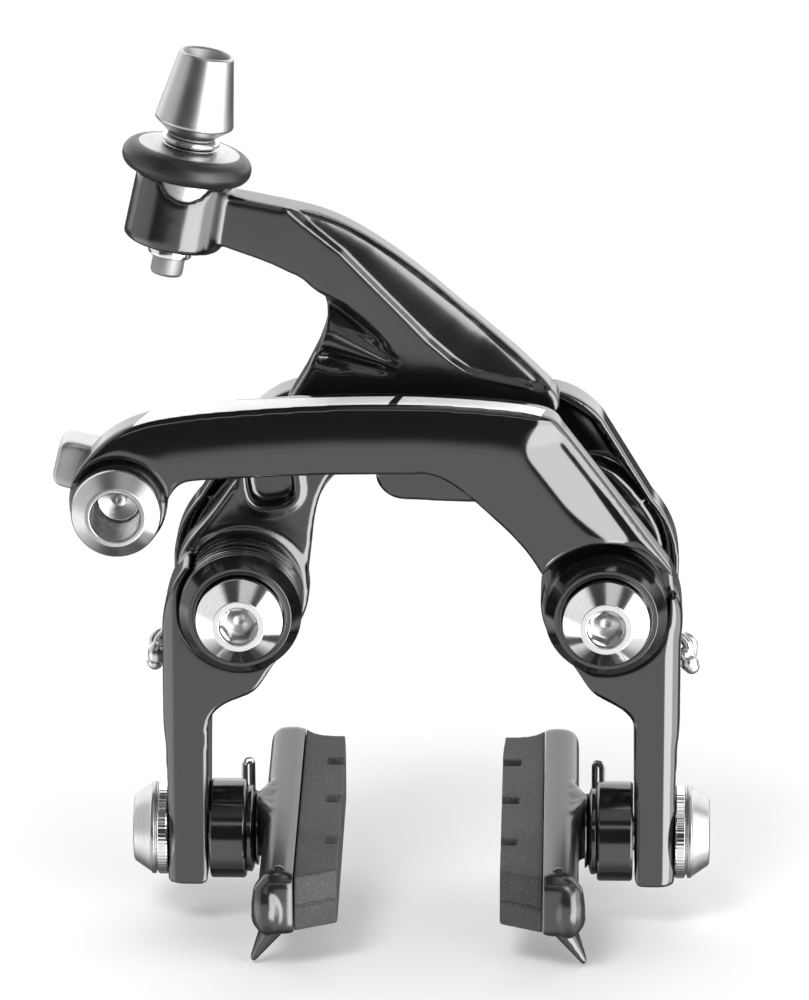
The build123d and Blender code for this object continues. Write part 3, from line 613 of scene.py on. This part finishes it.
def smooth_points(mesh, rounds, factor=0.5):
    """Laplacian smoothing of all points, in numpy."""
    count = len(mesh.vertices)
    co = np.zeros(count * 3)
    mesh.vertices.foreach_get("co", co)
    co = co.reshape(-1, 3)
    edges = np.zeros(len(mesh.edges) * 2, dtype=np.int64)
    mesh.edges.foreach_get("vertices", edges)
    edges = edges.reshape(-1, 2)
    degree = np.bincount(edges.ravel(), minlength=count).astype(float)
    degree[degree == 0] = 1.0
    for _ in range(rounds):
        total = np.zeros_like(co)
        for axis in range(3):
            total[:, axis] = (np.bincount(edges[:, 0], co[edges[:, 1], axis], count)
                              + np.bincount(edges[:, 1], co[edges[:, 0], axis], count))
        co += (total / degree[:, None] - co) * factor
    mesh.vertices.foreach_set("co", co.ravel())
    mesh.update()


def shaped(mesh, field):
    """Move each point by field(points in mm), which gives offsets in mm."""
    count = len(mesh.vertices)
    co = np.zeros(count * 3)
    mesh.vertices.foreach_get("co", co)
    points = co.reshape(-1, 3) / MM
    points = points + field(points)
    mesh.vertices.foreach_set("co", (points * MM).ravel())
    mesh.update()


def forged(node, voxel, rounds, field=None, material=None, after=4, extra=None):
    """Forged or moulded piece: remeshed CAD shape, crowned by field, with its edges rounded."""
    piece = copy_of(node, node + "_finish")
    if extra is not None:
        work = bmesh.new()
        work.from_mesh(piece.data)
        extra(work)
        work.to_mesh(piece.data)
        work.free()
    fuse(piece, voxel)
    smooth_points(piece.data, rounds)
    if field is not None:
        shaped(piece.data, field)
        smooth_points(piece.data, after)
    piece.data.shade_smooth()
    return place(piece, node, material)


VOXEL = 0.32


def smoothstep(x, low, high):
    t = np.clip((x - low) / (high - low), 0.0, 1.0)
    return t * t * (3.0 - 2.0 * t)


def dense(points, steps=400):
    """Evenly spaced points along the open line through the given ones."""
    points = np.array(points, float)
    run = np.concatenate([[0.0], np.cumsum(np.linalg.norm(np.diff(points, axis=0), axis=1))])
    t = np.linspace(0.0, run[-1], steps)
    return np.stack([np.interp(t, run, points[:, k]) for k in range(points.shape[1])], axis=1)


def distance_to(points, curve):
    """Distance of each XZ point to the nearest of the curve's points, in batches to save memory."""
    best = np.zeros(len(points))
    batch = 4000
    for k in range(0, len(points), batch):
        part = points[k:k + batch]
        best[k:k + batch] = np.linalg.norm(part[:, None, :] - curve[None, :, :], axis=2).min(axis=1)
    return best


# The legs' outer faces, and the area on them that the knurled washers slide over.
LEG_OUT = {"left": 39.78, "right": 39.03}
SLIDE_HALF_DEPTH, SLIDE_HALF_HEIGHT, SLIDE_MIDDLE_Z = 7.9, 10.6, PAD_Z + 1.3


def washer_seat(points, side):
    """Keep the leg's outer face flat where the knurled washer slides."""
    near = np.abs(points[:, 1] - PAD_Y) < SLIDE_HALF_DEPTH
    near &= np.abs(points[:, 2] - SLIDE_MIDDLE_Z) < SLIDE_HALF_HEIGHT
    over = np.maximum(points[:, 0] * OUTWARDS[side] - LEG_OUT[side], 0.0)
    return np.where(near, -OUTWARDS[side] * over, 0.0)


# Upper and outer edge of the front arm, from the cable anchor over the beam and down to the right pivot.
ARM_EDGE = dense([(-54.1, 17.0), (-53.2, 21.6), (-50.5, 25.5), (-46.0, 29.2), (-38.8, 31.4), (-27.8, 32.7),
                  (-14.6, 33.6), (0.0, 33.8), (11.6, 33.1), (17.6, 32.2), (19.8, 31.3), (21.2, 29.7),
                  (29.7, 18.5), (38.2, 7.4)])


# The arm's straight outer edge beyond the bend: its upper corner, direction and outward normal in XZ.
BEND_CORNER = np.array([21.2, 29.7])
BEND_ALONG = np.array([0.606, -0.795])
BEND_OUT = np.array([0.795, 0.606])


def front_arm_crown(points):
    """Upper zone of the beam leans back a few degrees; beyond the bend a facet leans outwards."""
    flat = points[:, [0, 2]]
    gap = distance_to(flat, ARM_EDGE)
    lean = 0.155 * np.logaddexp(0.0, (5.2 - gap) * 0.9) / 0.9
    along = (flat - BEND_CORNER) @ BEND_ALONG
    inward = -(flat - BEND_CORNER) @ BEND_OUT
    width = 6.7 - 3.0 * smoothstep(along, 9.0, 27.0)
    facet = 0.42 * np.logaddexp(0.0, (width - np.maximum(inward, 2.1)) * 2.0) / 2.0
    facet += 0.06 * (2.1 - np.minimum(inward, 2.1))
    beyond = smoothstep(along, -4.0, 1.5)
    front = smoothstep(-points[:, 1], 26.4, 30.6)
    offset = np.zeros_like(points)
    offset[:, 1] = (lean * (1.0 - beyond) + facet * beyond) * front
    offset[:, 0] = washer_seat(points, "right")
    return offset


forged("front_arm", VOXEL, rounds=16, field=front_arm_crown, material=STRIPED, after=8)


# Y of the rear arm's back and front face, and the features on its face, all as XZ outlines in mm.
REAR_BACK, REAR_FACE = -10.2, -17.2
WEB_FACE = [(-18.4, 49.3), (-16.3, 47.3), (-15.25, 45.4), (-15.0, 43.4), (-15.4, 41.5), (-16.3, 39.0),
            (-18.4, 34.8), (-3.0, 34.6), (-3.0, 38.5), (-7.0, 42.5), (-12.0, 47.0), (-16.0, 49.6)]
BLADE_EDGE = [(7.0, 43.95), (13.8, 38.1), (19.3, 32.9), (18.6, 31.9), (13.0, 37.5), (7.4, 42.9)]
BLADE_START = [(-23.4, 61.3), (-21.6, 61.1), (-19.4, 60.5), (-18.4, 59.4), (-20.4, 59.0), (-22.8, 60.4)]
UPPER_POCKET = [(-19.5, 49.6), (-16.4, 47.6), (-12.4, 45.6), (-9.2, 43.0), (-7.2, 41.0), (-5.6, 39.0),
                (-5.3, 38.2), (-8.0, 39.5), (-11.8, 41.8), (-14.6, 43.4), (-18.0, 44.6)]
LOWER_POCKET = [(-17.4, 36.7), (-14.7, 37.9), (-11.5, 35.3), (-14.0, 35.5)]
CONE_START, CONE_END = np.array([-15.8, 40.4]), np.array([-4.9, 36.1])
SCOOP_LOW = [(-21.0, 60.7), (-12.9, 54.0), (-3.9, 44.7), (0.5, 40.1), (4.0, 37.0), (6.2, 35.5), (8.8, 34.5),
             (12.5, 33.7), (17.6, 32.6)]
SCOOP_HIGH = [(17.6, 32.6), (12.4, 37.4), (7.3, 42.3), (-4.4, 51.9), (-12.0, 57.1), (-21.0, 60.7)]
BLADE_RIM = [(-21.6, 61.05), (-15.7, 59.6), (-7.5, 55.4), (4.9, 45.7), (13.7, 38.0), (19.2, 32.8)]
BLADE_TOP = [(22.0, 33.5), (12.4, 44.4), (-4.4, 56.9), (-12.0, 62.1), (-21.0, 64.7)]


def web_fill(work):
    """Solid web, blade edge and blade start up to the arm's front face, for the relief to be shaped in."""
    for corners in (WEB_FACE, BLADE_EDGE, BLADE_START):
        prism(work, *([(x, y, z) for x, z in corners] for y in (REAR_BACK, REAR_FACE)))


def depth_inside(flat, corners):
    """Distance of each XZ point to the outline, positive inside it."""
    corners = np.array(corners)
    inside = np.zeros(len(flat), bool)
    gap = np.full(len(flat), 1e9)
    for start, end in zip(corners, np.roll(corners, -1, axis=0)):
        run = end - start
        t = np.clip(((flat - start) @ run) / (run @ run), 0.0, 1.0)
        gap = np.minimum(gap, np.linalg.norm(flat - start - t[:, None] * run, axis=1))
        crosses = (start[1] > flat[:, 1]) != (end[1] > flat[:, 1])
        if end[1] != start[1]:
            inside ^= crosses & (flat[:, 0] < run[0] * (flat[:, 1] - start[1]) / run[1] + start[0])
    return np.where(inside, gap, -gap)


def web_relief(flat):
    """Depth of the two pockets and of the half-round cone between them, in the web's front face."""
    run = CONE_END - CONE_START
    length = np.linalg.norm(run)
    t = (flat - CONE_START) @ run / length ** 2
    away = (flat - CONE_START) @ np.array([-run[1], run[0]]) / length
    radius = 3.4 - 2.6 * np.clip(t, 0.0, 1.0)
    hollow = radius - np.sqrt(np.clip(radius ** 2 - away ** 2, 0.0, None))
    hollow = np.clip(hollow, 0.0, 1.5) * (1.0 - smoothstep(np.abs(away), radius * 0.92, radius + 0.9))
    hollow *= 1.0 - smoothstep(t, 0.85, 1.1)
    upper = smoothstep(depth_inside(flat, UPPER_POCKET), -0.3, 1.1)
    lower = smoothstep(depth_inside(flat, LOWER_POCKET), -0.3, 0.9)
    reach = 4.0 - 2.2 * smoothstep(flat[:, 0], -15.0, -6.0)
    return hollow * (1.0 - upper) + reach * upper + 1.2 * lower


def scoop_shape(flat):
    """Depth of the scoop, which grows towards the blade's top edge, and how far each point is its floor."""
    gap = distance_to(flat, dense(SCOOP_LOW, 300))
    beyond = np.where(depth_inside(flat, SCOOP_LOW + BLADE_TOP) > 0.0, gap, -gap)
    from_edge = distance_to(flat, dense(BLADE_RIM, 200))
    depth = 0.7 + 0.1 * gap + 0.008 * gap ** 2 + 0.5 * np.exp(-from_edge / 0.9)
    depth *= 0.5 + 0.5 * smoothstep(flat[:, 0], -21.0, -17.5)
    depth *= smoothstep(beyond, -0.05, 0.45) * smoothstep(-flat[:, 0], -20.0, -17.0)
    inside = depth_inside(flat, SCOOP_LOW + SCOOP_HIGH[1:-1])
    return depth, smoothstep(beyond, -0.7, -0.4) * smoothstep(inside, -0.8, -0.5)


def rear_arm_relief(points):
    """Pockets, cone and scoop in the rear arm's front face, and the flat seat on its leg."""
    flat = points[:, [0, 2]]
    offset = np.zeros_like(points)
    front = smoothstep(-points[:, 1], 11.0, -REAR_FACE - 0.6)
    offset[:, 1] = web_relief(flat) * front
    depth, share = scoop_shape(flat)
    share = np.where(points[:, 1] < -13.0, share, 0.0)
    offset[:, 1] += (REAR_FACE + depth - points[:, 1]) * share + depth * front * (1.0 - share)
    offset[:, 0] = washer_seat(points, "left")
    return offset


forged("rear_arm", VOXEL, rounds=9, field=rear_arm_relief, material=ARM_PAINT, after=4, extra=web_fill)
forged("back_bridge", VOXEL, rounds=9)

FRONT = (0.0, -1.0, 0.0)


def mount_bolt(side, x, corner):
    """M6 bolt with a polished conical head, flat ring, hex socket and drill point."""
    hexed = hexagon(corner)
    profile = [(0, -13), (2.4, -13), (3.0, -12.4), (3.0, -0.3), (2.85, -0.3), (2.85, 29.0), (5.6, 29.0),
               (5.6, 30.4), (6.65, 31.7), (6.65, 32.9), (3.97, 35.6), (3.05, 35.6), (2.85, 35.2),
               (2.75, 35.0, hexed), (2.70, 34.8, hexed), (2.66, 32.7, hexed), (2.05, 32.6), (1.0, 31.9),
               (0, 31.4)]
    lathe(side + "_mount_bolt", profile, (x, 0, 0), FRONT, POLISHED_TURNED, steps=120, ease=0.07)


def pivot_cap(side, x, back):
    """Black cap: flat inner ring, bevelled front and a finely grooved skirt."""
    profile = [(5.65, back), (9.4, back)]
    for groove in (20.6, 22.8, 25.0, 26.6, 27.5, 28.2):
        if groove > back + 0.5:
            profile += [(9.4, groove), (9.1, groove + 0.2), (9.1, groove + 0.35), (9.4, groove + 0.5)]
    profile += [(9.4, 29.0), (7.88, 31.1), (7.3, 31.1), (7.22, 31.0), (7.14, 31.1), (6.8, 31.1),
                (6.72, 30.9), (6.7, 29.2), (5.65, 29.0)]
    lathe(side + "_cap", profile, (x, 0, 0), FRONT, ANODISED, steps=128, ease=0.08, closed=True)


def anchor_bolt():
    """Hollow cable bolt: conical face, bright chamfered mouth and a stepped bore."""
    profile = [(0, 11.6), (2.2, 11.6), (2.5, 11.9), (2.5, 23.9), (4.8, 23.9), (4.8, 29.5), (6.75, 29.5),
               (6.9, 29.7), (6.9, 32.7), (6.72, 33.1), (4.62, 35.0), (3.98, 35.05), (3.8, 34.8),
               (3.78, 34.2), (3.5, 26.4), (3.3, 25.4), (1.2, 24.9), (0, 24.2)]
    lathe("anchor_bolt", profile, (ANCHOR[0], 0, ANCHOR[1]), FRONT, SATIN_TURNED, steps=120, ease=0.08)


def pad_fastenings(side):
    """Knurled washer, conical nut, spacer and the two dished washers on one pad bolt."""
    origin, up = (-LEFT_SHIFT if side == "left" else 0.0, PAD_Y, PAD_Z), (OUTWARDS[side], 0, 0)
    seat, thick = 39.05, 1.7
    ridged = knurl(72, 0.004)
    washer = [(3.1, seat), (7.0, seat), (7.15, seat + 0.12, ridged), (7.25, seat + 0.25, ridged),
              (7.25, seat + thick - 0.3, ridged), (7.1, seat + thick - 0.14, ridged), (6.9, seat + thick),
              (3.1, seat + thick)]
    lathe(side + "_nut_washer", washer, origin, up, POLISHED_TURNED, steps=432, ease=0.08, closed=True)
    base = seat + thick
    hexed = hexagon(10.0)
    nut = [(3.05, base), (6.7, base), (6.7, base + 0.2), (7.2, base + 0.3), (7.2, base + 0.85),
           (6.95, base + 1.0), (5.2, base + 3.55), (4.9, base + 3.7), (3.0, base + 3.7),
           (2.6, base + 3.4, hexed), (2.5, base + 1.6, hexed), (3.05, base + 1.4)]
    lathe(side + "_pad_nut", nut, origin, up, SATIN_TURNED, steps=120, ease=0.1, closed=True)
    spacer = [(3.1, 26.95), (7.45, 26.95), (7.75, 27.25), (7.75, 32.2), (7.45, 32.5), (3.1, 32.5)]
    lathe(side + "_spacer", spacer, origin, up, ANODISED, steps=120, ease=0.1, closed=True)
    cup = [(3.1, 26.95), (6.6, 26.95), (6.75, 26.7), (6.8, 26.1), (6.5, 25.9), (5.6, 25.6), (3.1, 26.55)]
    lathe(side + "_concave_washer", cup, origin, up, ANODISED, steps=96, ease=0.08, closed=True)
    ball = [(3.1, 25.05), (5.8, 25.05), (5.75, 25.3), (5.4, 25.55), (3.1, 26.45)]
    lathe(side + "_convex_washer", ball, origin, up, ANODISED, steps=96, ease=0.08, closed=True)


def barrel():
    """Cable seat: eased rim, long cone, short under-cone, then a neck and a stem with a groove each."""
    profile = [(3.95, 0), (4.2, -0.25), (6.05, -10.6), (6.0, -10.95), (3.8, -12.7), (3.6, -12.9),
               (3.6, -13.3), (3.35, -13.4), (3.35, -13.6), (3.6, -13.7), (3.6, -14.4), (2.5, -14.4),
               (2.5, -31.6), (2.35, -31.75), (2.5, -31.9), (2.5, -34.8), (2.25, -35.2), (1.0, -35.2),
               (1.0, -10.2), (3.05, -9.0), (3.05, -1.6), (3.45, -0.3), (3.75, 0)]
    lathe("barrel", profile, tuple(BARREL_TOP), AXIS_UP, SEAT_METAL, steps=120, ease=0.12, closed=True)


def adjuster_wheel():
    """Thin spool with a turned top, two crisp rims and a skirt in the housing."""
    profile = [(2.55, -14.5), (3.9, -14.55), (4.0, -14.75), (7.75, -15.0), (7.98, -15.25),
               (7.98, -15.5), (7.6, -15.75), (5.9, -16.1), (5.9, -18.1), (7.5, -18.75), (7.6, -18.9),
               (7.6, -19.2), (7.5, -19.3), (6.6, -19.3), (6.6, -21.9), (2.55, -21.9)]
    lathe("adjuster_wheel", profile, tuple(BARREL_TOP), AXIS_UP, SATIN_TURNED, steps=120, ease=0.08,
          closed=True)


def grip_ring():
    """Thick rubber ring with a faint parting line round its outside."""
    profile = []
    for step in range(40):
        turn = 2 * math.pi * step / 40
        reach = 2.05 - (0.03 if step == 0 else 0.0)
        profile.append((7.95 + reach * math.cos(turn), -17.1 + reach * math.sin(turn)))
    lathe("grip_ring", profile, tuple(BARREL_TOP), AXIS_UP, RUBBER, steps=128, ease=0.01, closed=True)


def stem_guide():
    """Polished bush whose flange shows under the housing."""
    profile = [(2.55, -22.2), (3.35, -22.2), (3.4, -30.9), (3.15, -31.05), (3.35, -31.2), (3.35, -32.0),
               (3.1, -32.2), (2.55, -32.2)]
    lathe("stem_guide", profile, tuple(BARREL_TOP), AXIS_UP, POLISHED_TURNED, steps=96, ease=0.06,
          closed=True)


# Shoes and pads are built at the right and mirrored; each is pitched about the pad bolt, front end down.
PAD_FACE, SHOE_FACE, SHOE_OUT, LEFT_SHIFT = 12.05, 18.65, 23.85, 0.75
PAD_FRONT, PAD_REAR, PAD_HALF, SHOE_HALF = PAD_Y - 26.0, PAD_Y + 26.0, 4.3, 5.3
PITCH = Matrix.Translation((0, PAD_Y * MM, PAD_Z * MM)) @ Matrix.Rotation(PAD_PITCH, 4, "X") \
    @ Matrix.Translation((0, -PAD_Y * MM, -PAD_Z * MM))


def sided(piece, node, side, material=None):
    """Pitch a right-hand pad piece, mirror it for the left, and let it stand for its CAD node."""
    matrix = PITCH
    if side == "left":
        mirror = Matrix.Translation((-LEFT_SHIFT * MM, 0, 0)) @ Matrix.Diagonal((-1.0, 1.0, 1.0, 1.0))
        matrix = mirror @ PITCH
    piece.data.transform(matrix)
    if side == "left":
        piece.data.flip_normals()
    return place(piece, side + "_" + node, material)


def pad(side):
    """Friction block: curved rear end, slanted front end, three wear notches and a mould line."""
    outline_points = [(SHOE_FACE, PAD_FRONT + 0.5), (SHOE_FACE, PAD_REAR), (17.6, PAD_REAR - 1.3),
                      (16.2, PAD_REAR - 2.1), (14.4, PAD_REAR - 2.4), (PAD_FACE + 0.3, PAD_REAR - 2.5),
                      (PAD_FACE, PAD_REAR - 8.0), (PAD_FACE, PAD_FRONT + 3.2)]
    cuts = []
    for step, y in enumerate((PAD_Y + 14.6, PAD_Y + 1.8, PAD_Y - 12.0)):
        reach = 2.9 - 0.2 * step
        cuts.append(((PAD_FACE - 1, y - 1.05, PAD_Z - 1.5), (PAD_FACE + reach, y + 1.05, PAD_Z + 6)))
    cuts.append(((PAD_FACE - 1, PAD_FRONT - 2, PAD_Z - 0.35),
                 (PAD_FACE + 0.35, PAD_FRONT + 14, PAD_Z - 0.05)))

    work = bmesh.new()
    prism(work, *([(x, y, z) for x, y in outline_points] for z in (PAD_Z - PAD_HALF, PAD_Z + PAD_HALF)))
    piece = new_object(side + "_pad_finish", work)
    tools = []
    for low, high in cuts:
        work = bmesh.new()
        shell_box(work, low, high)
        tools.append(new_object("cut", work))
        cut = piece.modifiers.new("cut", "BOOLEAN")
        cut.operation = "DIFFERENCE"
        cut.object = tools[-1]
    fuse(piece, 0.2)
    for tool in tools:
        bpy.data.objects.remove(tool)
    smooth_points(piece.data, 5)
    shaped(piece.data, pad_front)
    piece.data.shade_smooth()
    return sided(piece, "pad", side)


def pad_front(points):
    """The upper half of the front end leans back from the mould line, and the line itself is a groove."""
    near_front = smoothstep(-points[:, 1], -(PAD_FRONT + 9.0), -(PAD_FRONT + 4.0))
    height = points[:, 2] - PAD_Z
    lean = np.clip(height, 0.0, None) * 0.32
    groove = 0.5 * np.exp(-((height + 0.2 - 0.1 * np.sin(points[:, 0] * 2.4)) / 0.2) ** 2)
    offset = np.zeros_like(points)
    offset[:, 1] = (lean + groove) * near_front
    return offset


def shoe(side):
    """Pad holder: flat-backed bar, boss and ribs that rise to the washers, and a bulbous nose."""
    def build(work):
        shell_box(work, (SHOE_FACE - 1.2, PAD_FRONT - 0.5, PAD_Z - SHOE_HALF),
                  (SHOE_OUT + 0.25, PAD_REAR + 0.5, PAD_Z + SHOE_HALF), 2.45)
        shell_cone(work, (21.6, PAD_Y, PAD_Z), (24.4, PAD_Y, PAD_Z), 4.6, 4.4)
        crest = (25.2, PAD_Y + 0.3, PAD_Z + 4.7)
        for y, root in ((PAD_Y + 8.5, 1.2), (PAD_Y + 5.0, 1.8), (PAD_Y, 2.1), (PAD_Y - 5.0, 1.7)):
            shell_cone(work, (22.2, y, PAD_Z + 4.9 - root), crest, root, 0.9)
        for height in (2.6, 0.0, -2.6):
            shell_cone(work, (22.0, PAD_Y - 4.0, PAD_Z + height),
                       (24.2, PAD_Y, PAD_Z + height * 0.9), 2.2, 1.6)
        nose_x, nose_y = SHOE_OUT - 1.2, PAD_FRONT + 1.5
        shell_cone(work, (nose_x, nose_y, PAD_Z - 2.2), (nose_x, nose_y, PAD_Z + 2.0), 2.6, 2.3)
        shell_ball(work, (nose_x, nose_y - 0.1, PAD_Z - 0.6), (2.55, 3.0, 4.9))
    piece = shells(side + "_shoe_finish", build, 0.26, 14)
    shaped(piece.data, flat_back)
    return sided(piece, "shoe", side)


def flat_back(points):
    """The bar's back is a plane against the pad."""
    offset = np.zeros_like(points)
    offset[:, 0] = np.maximum(SHOE_FACE + 0.1 - points[:, 0], 0.0)
    return offset


def fin(side):
    """Blade under the nose, from a wide root to a rounded tip."""
    def build(work):
        root = Vector((SHOE_OUT - 2.2, PAD_FRONT + 3.4, PAD_Z - 4.6))
        tip = root + Vector((3.3, -1.2, -5.2))
        for k in range(25):
            t = k / 24
            middle = root.lerp(tip, t)
            wide = 2.5 * (1 - t) + 0.65 * t
            shell_ball(work, middle, (wide * 0.9, wide, 0.75))
    piece = shells(side + "_guide_fin_finish", build, 0.2, 14)
    return sided(piece, "guide_fin", side)


def clip(side):
    """Hairpin of black wire that stands up beside the shoe."""
    x, y = SHOE_OUT + 3.3, PAD_Y + 10.5
    low, top = PAD_Z + 0.5, PAD_Z + 7.0
    points = [(SHOE_OUT - 1.0, y, low), (x - 0.6, y, low + 0.2), (x - 0.6, y, top - 0.9),
              (x - 0.35, y, top - 0.35), (x + 0.25, y - 0.3, top - 0.35), (x + 0.55, y - 0.5, top - 1.0),
              (x + 0.6, y - 0.5, low + 1.4)]

    def build(work):
        shell_bend(work, points, 0.5)
    return sided(shells(side + "_clip_finish", build, 0.12, 6), "clip", side)


def spring_hook(side):
    """Curled, flattened end of the return spring beside the leg."""
    outwards = OUTWARDS[side]
    edge = 40.3 if side == "left" else 39.4
    lump = (1.4, 1.4, 2.0) if side == "left" else (1.5, 1.4, 1.55)
    low = -12.1 if side == "left" else -12.8

    def build(work):
        wire = [(edge - 1.0, -11.5, -8.6), (edge + 0.5, -11.6, -8.9), (edge + 1.4, -11.9, -9.9),
                (edge + 1.9, -12.2, -11.4), (edge + 2.0, -12.3, low + 0.9)]
        loop = [(edge - 0.8, -12.4, -11.0), (edge + 0.9, -12.6, -10.9), (edge + 1.5, -12.5, -11.8)]
        for bend, radius in ((wire, 0.78), (loop, 0.55)):
            shell_bend(work, [(outwards * x, y, z) for x, y, z in bend], radius)
        shell_ball(work, (outwards * (edge + 1.7), -12.3, low), lump)
        shell_ball(work, (outwards * (edge + 0.9), -12.2, low + 1.3), (1.2, 1.2, 1.1))
    piece = shells(side + "_spring_hook", build, 0.14, 5)
    piece.data.materials.clear()
    piece.data.materials.append(WIRE)
    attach(piece, BODY_OF[side + "_spring"])
    return piece


for side in ("left", "right"):
    pad(side)
    shoe(side)
    fin(side)
    clip(side)
    spring_hook(side)
for side, x, corner, cap_back in (("left", -PIVOT_X, 20.0, 17.9), ("right", PIVOT_X, -8.0, 24.1)):
    mount_bolt(side, x, corner)
    pivot_cap(side, x, cap_back)
    pad_fastenings(side)
anchor_bolt()
barrel()
adjuster_wheel()
grip_ring()
stem_guide()
forged("clamp_block", voxel=0.25, rounds=36)

for node in sorted(NODES):
    if not NODES[node].hide_render:
        NODES[node].data.materials.clear()
        NODES[node].data.materials.append(SLOT_MATERIAL[SLOT_OF[node]])
